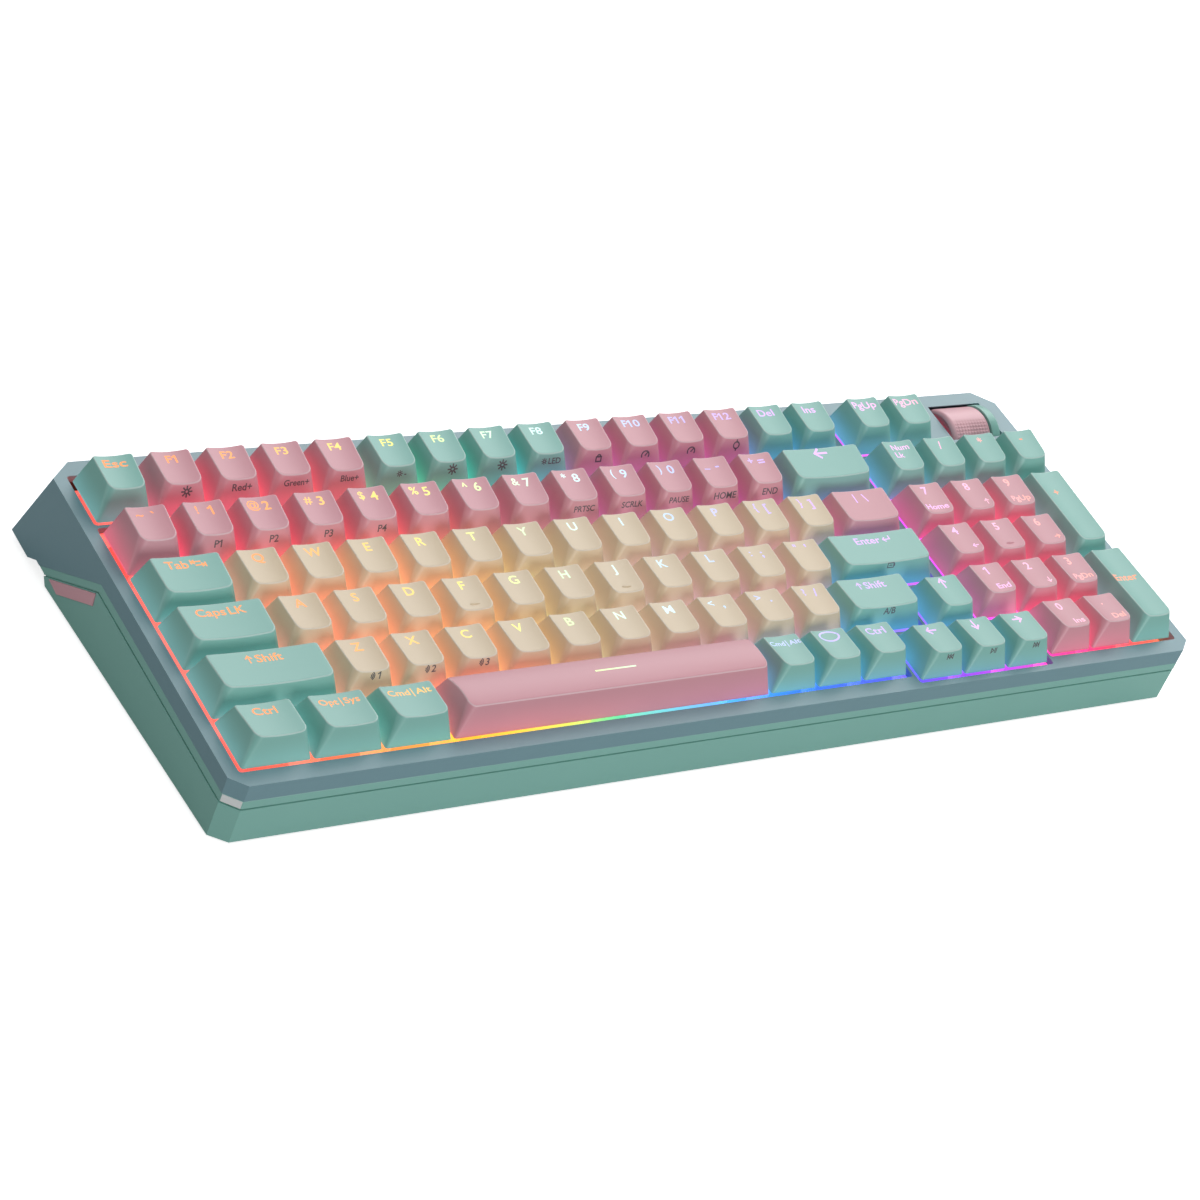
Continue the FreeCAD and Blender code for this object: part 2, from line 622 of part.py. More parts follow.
def switch_housing():
    """Switch housing at the origin: lower box, flange, tapered top, light window and shaft."""
    side = PLATE_HOLE - 2 * SWITCH_FIT
    lower = centred_box(0, 0, side, side, BOARD_TOP, PLATE_TOP)
    flange = centred_box(0, 0, 15.6, 15.6, PLATE_TOP, PLATE_TOP + 1.0)
    rings = []
    for z, width, depth in ((PLATE_TOP + 1.0, 14.0, 14.0), (HOUSING_TOP, 11.0, 10.2)):
        corners = [Vector(-width / 2, -depth / 2, z), Vector(width / 2, -depth / 2, z),
                   Vector(width / 2, depth / 2, z), Vector(-width / 2, depth / 2, z)]
        rings.append(Part.makePolygon(corners + [corners[0]]))
    upper = Part.makeLoft(rings, True, True)
    peg = upright(0, 0, 1.95, BOARD_BOTTOM - 1.0, BOARD_TOP)
    body = fuse_all([lower, flange, upper, peg])
    shaft = centred_box(0, 0, 7.6, 6.2, BOARD_TOP + 1.2, HOUSING_TOP + 1.0)
    window = centred_box(0, 5.0, 5.0, 2.6, BOARD_TOP - 1.0, HOUSING_TOP + 1.0)
    return body.cut([shaft, window])


def slider():
    """Switch slider at the origin: cross, body and guide pin."""
    long_arm, short_arm = STEM_CROSS
    top = HOUSING_TOP + CROSS_LENGTH
    body = centred_box(0, 0, 6.8, 5.4, HOUSING_TOP - 2.8, HOUSING_TOP)
    cross = [centred_box(0, 0, long_arm, short_arm, HOUSING_TOP, top),
             centred_box(0, 0, short_arm, long_arm, HOUSING_TOP, top)]
    pin = upright(0, 0, 1.0, BOARD_TOP + 1.2 + KEY_TRAVEL + 0.3, HOUSING_TOP - 2.8)
    return fuse_all([body] + cross + [pin])


def return_spring():
    """Return spring's envelope at its pressed length."""
    floor = BOARD_TOP + 1.2
    length = HOUSING_TOP - 2.8 - KEY_TRAVEL - 0.1 - floor
    ring = Part.makeCylinder(2.3, length, Vector(0, 0, floor))
    return ring.cut(Part.makeCylinder(1.9, length, Vector(0, 0, floor)))


def stabiliser_size(key):
    """Width and depth of a stabiliser housing under a wide or a tall key."""
    return (12.4, 7.6) if key.depth > key.width else (7.6, 12.4)


def stabiliser_housing(width, depth):
    """Stabiliser housing at the origin, open at the top for its slider."""
    outer = centred_box(0, 0, width, depth, BOARD_TOP + 0.1, HOUSING_TOP - 2.2)
    room = centred_box(0, 0, 6.2, 6.2, BOARD_TOP + 1.6, HOUSING_TOP)
    return outer.cut(room)


def stabiliser_slider():
    """Slider that carries a wide keycap's end."""
    long_arm, short_arm = STEM_CROSS
    top = HOUSING_TOP + CROSS_LENGTH
    body = centred_box(0, 0, 5.4, 5.4, HOUSING_TOP - 3.6, HOUSING_TOP)
    cross = [centred_box(0, 0, long_arm, short_arm, HOUSING_TOP, top),
             centred_box(0, 0, short_arm, long_arm, HOUSING_TOP, top)]
    return fuse_all([body] + cross)


def stabiliser_wire(key):
    """Bent wire that keeps both ends of a wide key level."""
    radius = WIRE_RADIUS
    level = PLATE_BOTTOM - WIRE_DROP
    run = -WIRE_SETBACK
    reach = key.stabiliser_offset()
    end = -stabiliser_size(key)[1] / 2 - 0.1
    if key.depth > key.width:
        end = -stabiliser_size(key)[0] / 2 - 0.1
    pieces = [across(radius, -reach, reach, run, level)]
    for x in (-reach, reach):
        pieces.append(Part.makeSphere(radius, Vector(x, run, level)))
        pieces.append(Part.makeCylinder(radius, end - run, Vector(x, run, level), Vector(0, 1, 0)))
    wire = fuse_all(pieces)
    if key.depth > key.width:
        wire.rotate(Vector(0, 0, 0), Vector(0, 0, 1), 90)
    wire.translate(Vector(key.cx, key.cy, 0))
    return wire


def copies(shape, places):
    """Compound of one shape repeated at (x, y) places."""
    out = []
    for x, y in places:
        piece = shape.copy()
        piece.translate(Vector(x, y, 0))
        out.append(piece)
    return Part.makeCompound(out)


def plate_gaskets():
    """Soft strips between the plate and the bottom case's ledges."""
    strips = []
    width, length = GASKET_STRIP
    first, spacing, count = GASKET_ROW
    for x in (-PLATE_MARGIN + width / 2, LAYOUT_WIDTH + PLATE_MARGIN - width / 2):
        for step in range(count):
            y = first + step * spacing
            strips.append(centred_box(x, y + length / 2, width, length,
                                      PLATE_BOTTOM - GASKET_THICKNESS, PLATE_BOTTOM))
    return Part.makeCompound(strips)


def battery_limits():
    """Across and along limits of the battery."""
    middle = LAYOUT_WIDTH / 2
    return middle - 52.0, middle + 52.0, 30.0, 78.0


def battery():
    """Flat rechargeable pack on the case's floor."""
    x0, x1, y0, y1 = battery_limits()
    pack = desk_slab(x0, x1, y0, y1, CASE_WALL, CASE_WALL + 6.0)
    corners = [edge for edge in pack.Edges
               if abs(edge.Vertexes[0].Z - edge.Vertexes[-1].Z) > 5.0]
    return pack.makeFillet(1.5, corners)


def case_foam():
    """Sound-damping sheet on the case's floor."""
    sheet = desk_slab(CASE_LEFT + CASE_WALL + 2.0, CASE_RIGHT - CASE_WALL - 2.0,
                      CASE_FRONT + CASE_WALL + 4.0, CASE_REAR - FLANK_START + 4.0,
                      CASE_WALL, CASE_WALL + 2.0)
    x0, x1, y0, y1 = battery_limits()
    tools = [box(x0 - 1.0, x1 + 1.0, y0 - 1.0, y1 + 1.0, -60.0, 0.0)]
    for x, y in standoff_places():
        tools.append(upright(x, y, STANDOFF_RADIUS + 1.0, -60.0, 0.0))
    for side in (-1, 1):
        x, hinge_y, _ = flip_foot_frame(side)
        width, length, _ = FLIP_FOOT
        tools.append(box(x - width / 2 - 6.0, x + width / 2 + 6.0,
                         hinge_y - length - FINGER_NOTCH - 4.0,
                         hinge_y + 20.0, -60.0, 0.0))
    return cut_all(sheet, tools)


# ---- socket board -------------------------------------------------------------------------------
def socket_board_level():
    """Top of the socket board."""
    return socket_centre()[1] - SOCKET_SIZE[2] / 2


def socket_board():
    """Small board at the rear behind the inlet and the mode switch."""
    x, _ = socket_centre()
    left, right, thickness = SOCKET_BOARD
    top = socket_board_level()
    rear = rear_face(top) - CASE_WALL - REAR_WALL_GAP
    front = CASE_REAR - FLANK_START + 16.0
    return box(x - left, x + right, front, rear, top - thickness, top)


def usb_socket():
    """Oblong metal inlet shell with its contact tongue."""
    x, z = socket_centre()
    width, depth, height = SOCKET_SIZE
    rear = rear_face(z + height / 2) - 0.1
    shell = centred_box(x, rear - depth / 2, width, depth, z - height / 2, z + height / 2)
    along = [edge for edge in shell.Edges
             if abs(edge.Vertexes[0].Y - edge.Vertexes[-1].Y) > depth - 0.5]
    shell = shell.makeFillet(height / 2 - 0.05, along)
    mouth = centred_box(x, rear - depth / 2 + 1.0, width - 0.6, depth, z - height / 2 + 0.3,
                        z + height / 2 - 0.3)
    along = [edge for edge in mouth.Edges
             if abs(edge.Vertexes[0].Y - edge.Vertexes[-1].Y) > depth - 0.5]
    mouth = mouth.makeFillet(height / 2 - 0.35, along)
    tongue = centred_box(x, rear - depth / 2 - 0.6, 6.6, depth - 1.2, z - 0.35, z + 0.35)
    return shell.cut(mouth).fuse(tongue)


def mode_switch_housing():
    """Body of the mode switch on the socket board."""
    x, z = mode_knob_centre()
    margin, depth, height = MODE_HOUSING
    rear = rear_face(z) - CASE_WALL - 1.4
    top = socket_board_level()
    body = box(x - margin, x + MODE_TRAVEL + margin, rear - depth, rear, top, top + height)
    slot = box(x - MODE_KNOB[0] / 2 - 0.3, x + MODE_KNOB[0] / 2 + MODE_TRAVEL + 0.3,
               rear - 1.6, rear + 1.0, z - MODE_KNOB[2] / 2 - 0.2, z + MODE_KNOB[2] / 2 + 0.2)
    return body.cut(slot)


def mode_switch_knob():
    """Knob of the mode switch, reaching out through the rear wall."""
    x, z = mode_knob_centre()
    width, _, height = MODE_KNOB
    inner = rear_face(z) - CASE_WALL - 1.4 - 1.2
    outer = rear_face(z) + 0.6
    return box(x - width / 2, x + width / 2, inner, outer, z - height / 2, z + height / 2)


# ---- dial ---------------------------------------------------------------------------------------
def dial_drum():
    """Roller with rounded rims and dished ends."""
    left, right, y, z = dial_place()
    drum = across(DIAL_RADIUS, left, right, y, z)
    rims = [edge for edge in drum.Edges if edge.Closed]
    drum = drum.makeFillet(0.7, rims)
    dish = across(DIAL_RADIUS - 1.6, left - 1.0, left + 0.8, y, z)
    return drum.cut([dish, across(SHAFT_RADIUS, left - 1.0, right + 1.0, y, z)])


def dial_ears():
    """Limits across of the carriage's two ears."""
    left, right, _, _ = dial_place()
    gap, thickness = DIAL_EAR
    return (left - gap - thickness, left - gap), (right + gap, right + gap + thickness)


def dial_shaft():
    """Steel shaft pressed through the roller."""
    left_ear, right_ear = dial_ears()
    _, _, y, z = dial_place()
    return across(SHAFT_RADIUS, left_ear[0] - 0.3, right_ear[1] + 1.6, y, z)


def dial_carriage():
    """Sprung cradle that carries the roller's shaft."""
    _, _, y, z = dial_place()
    left_ear, right_ear = dial_ears()
    depth, thickness, gap = CARRIAGE_BASE
    base_top = z - DIAL_RADIUS - gap
    base_bottom = base_top - thickness
    base = box(left_ear[0], right_ear[1], y - depth / 2, y + depth / 2, base_bottom, base_top)
    ears = []
    for x0, x1 in (left_ear, right_ear):
        ears.append(box(x0, x1, y - EAR_RADIUS, y + EAR_RADIUS, base_bottom, z))
        ears.append(across(EAR_RADIUS, x0, x1, y, z))
    bores = across(SHAFT_RADIUS + SHAFT_CLEARANCE, left_ear[0] - 1.0, right_ear[1] + 1.0, y, z)
    return fuse_all([base] + ears).cut(bores)


def dial_encoder():
    """Encoder on the carriage's right ear, around the shaft's end."""
    _, _, y, z = dial_place()
    _, right_ear = dial_ears()
    width, depth, below, above = ENCODER_SIZE
    body = box(right_ear[1], right_ear[1] + width, y - depth / 2, y + depth / 2, z - below, z + above)
    bore = across(SHAFT_RADIUS + SHAFT_CLEARANCE, right_ear[1] - 1.0, right_ear[1] + 1.8, y, z)
    return body.cut(bore)


def dial_hood():
    """Fixed cheek beside the roller, with the roller's own curve on top."""
    _, right, y, z = dial_place()
    x0 = right + DIAL_GAP
    x1 = x0 + HOOD_WIDTH
    disc = across(DIAL_RADIUS + HOOD_MARGIN, x0, x1, y, z)
    rims = [edge for edge in disc.Edges if edge.Closed and abs(edge.CenterOfMass.x - x1) < 0.1]
    disc = disc.makeFillet(2.2, rims)
    reach = dial_reach() - 0.2
    return disc.common(box(x0, x1, y - reach, y + reach, FACE_HEIGHT - CASE_WALL, 40.0))


# ---- keycaps ------------------------------------------------------------------------------------
def cap_profile(key):
    """Front height and setback, back height and setback of a key's cap."""
    front_height, front_setback, back_height, back_setback = ROW_PROFILES[key.row]
    if key.depth > 1.0:
        _, _, back_height, back_setback = ROW_PROFILES[key.row - 1]
        if key.row == 4:
            front_height, front_setback, _, _ = ROW_PROFILES[5]
    return front_height, front_setback, back_height, back_setback


def cap_section(half_width, half_depth, z_front, z_back, side_front, side_back, front, back):
    """Four corners of a cap's section, from its insets at front and back."""
    return [
        Vector(-half_width + side_front, -half_depth + front, z_front),
        Vector(half_width - side_front, -half_depth + front, z_front),
        Vector(half_width - side_back, half_depth - back, z_back),
        Vector(-half_width + side_back, half_depth - back, z_back),
    ]


def keycap(key):
    """Hollow sculpted keycap at the origin, with its mounting posts."""
    front_height, front_setback, back_height, back_setback = cap_profile(key)
    half_width = key.width * KEY_PITCH / 2 - CAP_SIDE_GAP
    half_depth = key.depth * KEY_PITCH / 2 - CAP_SIDE_GAP
    rim = cap_section(half_width, half_depth, 0, 0, 0, 0, 0, 0)
    top = cap_section(half_width, half_depth, front_height, back_height,
                      FRONT_SIDE_INSET, BACK_SIDE_INSET, front_setback, back_setback)
    corner_radii = [FRONT_CORNER_RADIUS] * 2 + [BACK_CORNER_RADIUS] * 2
    outer = Part.makeLoft([rounded_wire(rim, [RIM_RADIUS] * 4), rounded_wire(top, corner_radii)],
                          True, True)
    top_front, top_back = top[0], top[3]
    slope = math.atan2(top_back.z - top_front.z, top_back.y - top_front.y)
    if key.node == "key_space":
        crown_radius = ((top_back.y - top_front.y) / 2) ** 2 / (2 * SPACE_CROWN) + SPACE_CROWN / 2
        middle = (top_front + top_back) * 0.5
        centre = Vector(-half_width - 1, middle.y + math.sin(slope) * (crown_radius - SPACE_CROWN),
                        middle.z - math.cos(slope) * (crown_radius - SPACE_CROWN))
        crown = Part.makeCylinder(crown_radius, 2 * half_width + 2, centre, Vector(1, 0, 0))
        lid = Part.makeLoft([rounded_wire(top, corner_radii),
                             rounded_wire([p + Vector(0, 0, 4) for p in top], corner_radii)],
                            True, True)
        outer = outer.fuse(lid.common(crown))
    else:
        half_top = half_width - BACK_SIDE_INSET
        dish_radius = (half_top ** 2 + DISH_DEPTH ** 2) / (2 * DISH_DEPTH)
        direction = Vector(0, math.cos(slope), math.sin(slope))
        normal = Vector(0, -math.sin(slope), math.cos(slope))
        start = top_front + normal * (dish_radius - DISH_DEPTH) - direction * 10
        dish = Part.makeCylinder(dish_radius, 2 * half_depth + 20, Vector(0, start.y, start.z), direction)
        outer = outer.cut(dish)
    inner_rim = cap_section(half_width - CAP_WALL, half_depth - CAP_WALL, -0.01, -0.01, 0, 0, 0, 0)
    share = (min(front_height, back_height) - CAP_ROOF - DISH_DEPTH) / min(front_height, back_height)
    inner_top = cap_section(half_width - CAP_WALL, half_depth - CAP_WALL,
                            front_height - CAP_ROOF - DISH_DEPTH, back_height - CAP_ROOF - DISH_DEPTH,
                            FRONT_SIDE_INSET * share, BACK_SIDE_INSET * share,
                            front_setback * share, back_setback * share)
    hollow = Part.makeLoft([Part.makePolygon(inner_rim + [inner_rim[0]]),
                            Part.makePolygon(inner_top + [inner_top[0]])], True, True)
    cap = outer.cut(hollow)
    post_height = min(front_height, back_height) - CAP_ROOF / 2 - DISH_DEPTH
    long_arm, short_arm = STEM_CROSS
    places = [(0.0, 0.0)] + [(x - key.cx, y - key.cy) for x, y in key.stabiliser_places()]
    for x, y in places:
        post = upright(x, y, STEM_POST_RADIUS, HOUSING_TOP + 0.1, post_height)
        mouth = [centred_box(x, y, long_arm + 2 * CROSS_FIT, short_arm + 2 * CROSS_FIT,
                             HOUSING_TOP, HOUSING_TOP + POST_MOUTH),
                 centred_box(x, y, short_arm + 2 * CROSS_FIT, long_arm + 2 * CROSS_FIT,
                             HOUSING_TOP, HOUSING_TOP + POST_MOUTH)]
        cap = cap.fuse(post).cut(mouth)
    return cap


def key_assembly(key, cap_cache):
    """Cap and sliders of one key as separate solids in place."""
    kind = (key.node == "key_space", key.width, key.depth, key.row)
    if kind not in cap_cache:
        cap_cache[kind] = keycap(key)
    cap = cap_cache[kind].copy()
    cap.translate(Vector(key.cx, key.cy, 0))
    pieces = [cap, copies(slider(), [(key.cx, key.cy)])]
    if key.stabiliser_places():
        pieces.append(copies(stabiliser_slider(), key.stabiliser_places()))
    return [solid for piece in pieces for solid in piece.Solids]


# ---- placing and writing ------------------------------------------------------------------------
def tilt(shape):
    """Shape turned from key space to the typing angle."""
    turned = shape.copy()
    turned.rotate(Vector(0, 0, 0), Vector(1, 0, 0), TYPING_ANGLE)
    return turned


def placement_shift():
    """Move that centres the case over the origin with its rubber feet on the desk."""
    bounds = tilt(case_body(0.0, FACE_HEIGHT, 0.0)).BoundBox
    lift = CASE_DEPTH * math.cos(math.radians(TYPING_ANGLE)) + FOOT_STAND
    return Vector(-LAYOUT_WIDTH / 2, -(bounds.YMin + bounds.YMax) / 2, lift)


def write_part(node, shape, shift):
    """One piece, tilted, placed and written to its own file."""
    placed = tilt(shape)
    placed.translate(shift)
    placed.exportStep(os.path.join("parts", node + ".step"))


def key_nodes(keys):
    """Every key node with its caps and sliders."""
    nodes = {}
    cap_cache = {}
    for key in keys:
        nodes.setdefault(key.node, []).extend(key_assembly(key, cap_cache))
    return {node: Part.makeCompound(solids) for node, solids in nodes.items()}


def case_nodes(keys):
    """Pieces of the case and everything fixed to it."""
    shell = case_shell()
    centres = [(key.cx, key.cy) for key in keys]
    wide_keys = [key for key in keys if key.stabiliser_places()]
    housings = []
    for key in wide_keys:
        housing = stabiliser_housing(*stabiliser_size(key))
        housings += copies(housing, key.stabiliser_places()).Solids
    light = box(-1.6, 1.6, 4.0, 6.0, BOARD_TOP, BOARD_TOP + 1.0)
    return {
        "top_cover": top_cover(shell, keys),
        "middle_frame": middle_frame(shell),
        "bottom_case": bottom_case(shell),
        "side_badge": badge_solid(0.0),
        "switch_plate": switch_plate(keys),
        "circuit_board": circuit_board(keys),
        "switch_housings": copies(switch_housing(), centres),
        "switch_springs": copies(return_spring(), centres),
        "light_chips": copies(light, centres),
        "stabiliser_housings": Part.makeCompound(housings),
        "stabiliser_wires": Part.makeCompound([stabiliser_wire(key) for key in wide_keys]),
        "plate_gaskets": plate_gaskets(),
        "case_foam": case_foam(),
        "battery": battery(),
        "socket_board": socket_board(),
        "usb_socket": usb_socket(),
        "mode_switch_housing": mode_switch_housing(),
        "mode_switch_knob": mode_switch_knob(),
        "rubber_feet": rubber_feet(),
        "case_screws": case_screws(),
        "flip_foot_left": flip_foot(-1),
        "flip_foot_right": flip_foot(1),
    }


def dial_nodes():
    """Pieces of the dial."""
    return {
        "dial_hood": dial_hood(),
        "dial_drum": dial_drum(),
        "dial_shaft": dial_shaft(),
        "dial_carriage": dial_carriage(),
        "dial_encoder": dial_encoder(),
    }


def main():
    """Build and write every piece."""
    os.makedirs("parts", exist_ok=True)
    keys = all_keys()
    shift = placement_shift()
    nodes = {}
    nodes.update(case_nodes(keys))
    nodes.update(dial_nodes())
    nodes.update(key_nodes(keys))
    for node, shape in nodes.items():
        write_part(node, shape, shift)
        print(node, len(shape.Solids), "solids", "valid" if shape.isValid() else "NOT VALID")
    print(len(nodes), "nodes, origin shift", shift)


main()
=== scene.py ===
"""Looks of a compact full-width keyboard: sculpted backlit keycaps, a faceted two-tone case, a roller dial.

Shapes are worked out in key space, in millimetres: X runs right along the rows, Y towards the back and Z
square to the rows, with Z = 0 at the rims of the resting caps and Y = 0 at the front of the lowest
letter-block row. KeySpace turns those points into the frame's metres.
"""

import json
import logging
import math
from dataclasses import dataclass, field
from enum import Enum

import bmesh
import bpy
import numpy as np
from mathutils import Matrix, Vector

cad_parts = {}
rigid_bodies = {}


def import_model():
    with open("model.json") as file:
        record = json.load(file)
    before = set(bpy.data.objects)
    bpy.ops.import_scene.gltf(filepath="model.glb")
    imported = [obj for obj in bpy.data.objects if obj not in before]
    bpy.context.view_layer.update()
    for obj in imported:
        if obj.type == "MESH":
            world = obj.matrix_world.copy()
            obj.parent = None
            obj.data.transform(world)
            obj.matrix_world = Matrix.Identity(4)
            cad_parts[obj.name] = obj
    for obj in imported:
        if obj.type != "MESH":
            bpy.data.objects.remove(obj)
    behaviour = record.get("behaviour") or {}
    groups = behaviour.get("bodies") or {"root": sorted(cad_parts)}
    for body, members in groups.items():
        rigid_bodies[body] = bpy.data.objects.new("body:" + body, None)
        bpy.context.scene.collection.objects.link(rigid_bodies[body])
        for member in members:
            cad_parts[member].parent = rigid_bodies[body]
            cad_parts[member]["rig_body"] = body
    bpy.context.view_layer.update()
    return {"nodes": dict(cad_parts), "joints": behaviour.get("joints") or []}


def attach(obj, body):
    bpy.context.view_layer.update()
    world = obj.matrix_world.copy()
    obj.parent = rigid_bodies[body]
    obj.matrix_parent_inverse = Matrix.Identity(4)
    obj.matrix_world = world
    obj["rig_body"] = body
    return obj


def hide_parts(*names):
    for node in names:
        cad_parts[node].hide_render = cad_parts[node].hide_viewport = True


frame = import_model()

Array = np.ndarray
Faces = list[list[int]]
Colour = tuple[float, float, float]
Place = tuple[float, float, float]

LOG = logging.getLogger("keyboard")
MM = 0.001

KEY_PITCH = 19.05
CAP_SIDE_GAP = 0.45
CLUSTER_GAP = 3.05
KEYPAD_GAP = 5.87
LETTER_BLOCK_UNITS = 15.0
FACE_HEIGHT = 0.6
HOUSING_TOP = 0.3
STEM_RISE = 3.6
FUNCTION_ROW_FRONT = 5 * KEY_PITCH + CLUSTER_GAP
LAYOUT_BACK = FUNCTION_ROW_FRONT + KEY_PITCH
KEYPAD_START = LETTER_BLOCK_UNITS * KEY_PITCH + KEYPAD_GAP
LAYOUT_WIDTH = KEYPAD_START + 4 * KEY_PITCH


# ---- placing ------------------------------------------------------------------------------------
def unit(vectors: Array) -> Array:
    """Vectors divided by their own lengths."""
    return vectors / np.linalg.norm(vectors, axis=-1, keepdims=True)


def node_points(node: str) -> Array:
    """Vertices of a CAD node.

    Args:
        node: Name of the CAD node.

    Returns:
        One row per vertex, in the frame's metres.
    """
    mesh = frame["nodes"][node].data
    flat = np.zeros(len(mesh.vertices) * 3, np.float32)
    mesh.vertices.foreach_get("co", flat)
    return flat.reshape(-1, 3).astype(float)


@dataclass(frozen=True)
class KeySpace:
    """Tilted space of the keys: its angle and where its origin lies in the turned frame, in metres."""

    tilt: float
    origin: tuple[float, float, float]

    @classmethod
    def from_frame(cls) -> "KeySpace":
        """Reads the tilt from a key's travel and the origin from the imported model's boxes."""
        press = next(j for j in frame["joints"] if j["name"] == "press_escape")
        axis = press["axis"]
        tilt = math.atan2(axis[1], -axis[2])
        level = cls(tilt, (0.0, 0.0, 0.0))
        escape = level.turned(node_points("key_escape"))
        cover = level.turned(node_points("top_cover"))
        return cls(tilt, (
            float(escape[:, 0].min()) - CAP_SIDE_GAP * MM,
            float(escape[:, 1].max()) - (LAYOUT_BACK - CAP_SIDE_GAP) * MM,
            float(cover[:, 2].max()) - FACE_HEIGHT * MM,
        ))

    def turned(self, points: Array) -> Array:
        """Frame points turned so that the rows of keys lie level."""
        c, s = math.cos(self.tilt), math.sin(self.tilt)
        x, y, z = points[:, 0], points[:, 1], points[:, 2]
        return np.column_stack([x, y * c + z * s, z * c - y * s])

    def world(self, points: Array) -> Array:
        """Key-space millimetres turned into the frame's metres.

        Args:
            points: One row per point, in key space.

        Returns:
            The same points in the frame: scaled, moved to the origin, then turned back by the tilt.
        """
        c, s = math.cos(self.tilt), math.sin(self.tilt)
        x, y, z = (points * MM + np.array(self.origin)).T
        return np.column_stack([x, y * c - z * s, y * s + z * c])

    def keyed(self, node: str) -> Array:
        """Vertices of a CAD node, in key-space millimetres."""
        return (self.turned(node_points(node)) - np.array(self.origin)) / MM

    def height_direction(self) -> Place:
        """Unit vector of key space's Z in the frame."""
        return 0.0, -math.sin(self.tilt), math.cos(self.tilt)


SPACE = KeySpace.from_frame()


def linked(name: str, data: bpy.types.ID) -> bpy.types.Object:
    """A new object on some data, linked to the scene."""
    made = bpy.data.objects.new(name, data)
    bpy.context.scene.collection.objects.link(made)
    return made


# ---- meshes -------------------------------------------------------------------------------------
@dataclass
class Shell:
    """A mesh that grows by closed pieces, each with its own finish number."""

    points: list[Array] = field(default_factory=list)
    faces: Faces = field(default_factory=list)
    finishes: list[int] = field(default_factory=list)
    polish: list[Array] = field(default_factory=list)
    count: int = 0

    def add(self, points: Array, faces: Faces | Array, finish: int = 0, polish: Array | None = None) -> None:
        """Adds one piece.

        Args:
            points: Its vertices in key space.
            faces: Vertex numbers of its faces, counted from its own first vertex.
            finish: Which of the object's materials it takes.
            polish: How much each vertex is lightened by the painted edge highlight, 0 to 1, or nothing for
                not at all.
        """
        self.polish.append(np.zeros(len(points)) if polish is None else polish)
        rows = faces.tolist() if isinstance(faces, np.ndarray) else faces
        self.faces += [[i + self.count for i in row] for row in rows]
        self.finishes += [finish] * len(rows)
        self.points.append(points)
        self.count += len(points)

    def piece(self, name: str, finishes: list[bpy.types.Material], sharp: float) -> bpy.types.Object:
        """Turns the shell into an object whose place is in its mesh.

        Args:
            name: Name of the object.
            finishes: Its materials in finish order.
            sharp: Angle in degrees past which an edge stays sharp.

        Returns:
            The new object, linked to the scene.
        """
        mesh = bpy.data.meshes.new(name)
        mesh.from_pydata(SPACE.world(np.concatenate(self.points)), [], self.faces)
        mesh.polygons.foreach_set("material_index", np.array(self.finishes, np.int32))
        # Per-vertex weight of the painted edge highlight, read by the edge highlight group.
        highlight_weight = mesh.attributes.new("polish", "FLOAT", "POINT")
        highlight_weight.data.foreach_set("value", np.concatenate(self.polish).astype(np.float32))
        for finish in finishes:
            mesh.materials.append(finish)
        mesh.shade_smooth()
        mesh.set_sharp_from_angle(angle=math.radians(sharp))
        LOG.info("%s: %d faces", name, len(mesh.polygons))
        return linked(name, mesh)


def ring_faces(rings: int, around: int, closed: bool = False) -> Array:
    """Quads between neighbouring rings of a grid.

    Args:
        rings: How many rings, ordered so that tangent times step points outwards.
        around: Points in each ring.
        closed: Whether the last ring joins the first.

    Returns:
        One row of four vertex numbers per quad.
    """
    last = rings if closed else rings - 1
    low = np.arange(last)[:, None] * around
    high = (np.arange(1, last + 1) % rings)[:, None] * around
    here = np.arange(around)[None, :]
    ahead = (here + 1) % around
    return np.stack([low + here, low + ahead, high + ahead, high + here], -1).reshape(-1, 4)


def poled_faces(rings: int, around: int) -> Faces:
    """Faces of rings closed by a pole before the first and after the last.

    Args:
        rings: How many rings lie between the poles.
        around: Points in each ring.

    Returns:
        Faces for vertices ordered as rings, first pole, last pole.
    """
    faces = ring_faces(rings, around).tolist()
    first, last = rings * around, rings * around + 1
    top = (rings - 1) * around
    for here in range(around):
        ahead = (here + 1) % around
        faces.append([first, ahead, here])
        faces.append([top + here, top + ahead, last])
    return faces


def prism(outline: Array, low: float, high: float) -> tuple[Array, Faces]:
    """A flat outline drawn out along Z.

    Args:
        outline: Counter-clockwise corners, one (x, y) row each.
        low: Height of the underside.
        high: Height of the top.

    Returns:
        Vertices and faces: the outline at both heights, a quad for each side and an end face each.
    """
    count = len(outline)
    points = np.concatenate([np.column_stack([outline, np.full(count, z)]) for z in (low, high)])
    faces = ring_faces(2, count).tolist()
    faces.append(list(range(count))[::-1])
    faces.append(list(range(count, 2 * count)))
    return points, faces


def tube(inner: float, outer: float, low: float, high: float, around: int = 20) -> tuple[Array, Array]:
    """A straight tube about Z: a four-cornered section carried round a circle."""
    turn = np.linspace(0.0, 2 * math.pi, around, endpoint=False)
    section = [(outer, low), (outer, high), (inner, high), (inner, low)]
    rings = [np.column_stack([r * np.cos(turn), r * np.sin(turn), np.full(around, z)]) for r, z in section]
    return np.concatenate(rings), ring_faces(4, around, closed=True)


def rectangle(width: float, depth: float) -> Array:
    """Counter-clockwise corners of a rectangle about the origin."""
    x, y = width / 2, depth / 2
    return np.array([(-x, -y), (x, -y), (x, y), (-x, y)])


def cross_outline(arm: float, thickness: float) -> Array:
    """Counter-clockwise corners of an upright cross about the origin."""
    a, t = arm / 2, thickness / 2
    return np.array([(-t, -a), (t, -a), (t, -t), (a, -t), (a, t), (t, t),
                     (t, a), (-t, a), (-t, t), (-a, t), (-a, -t), (-t, -t)])


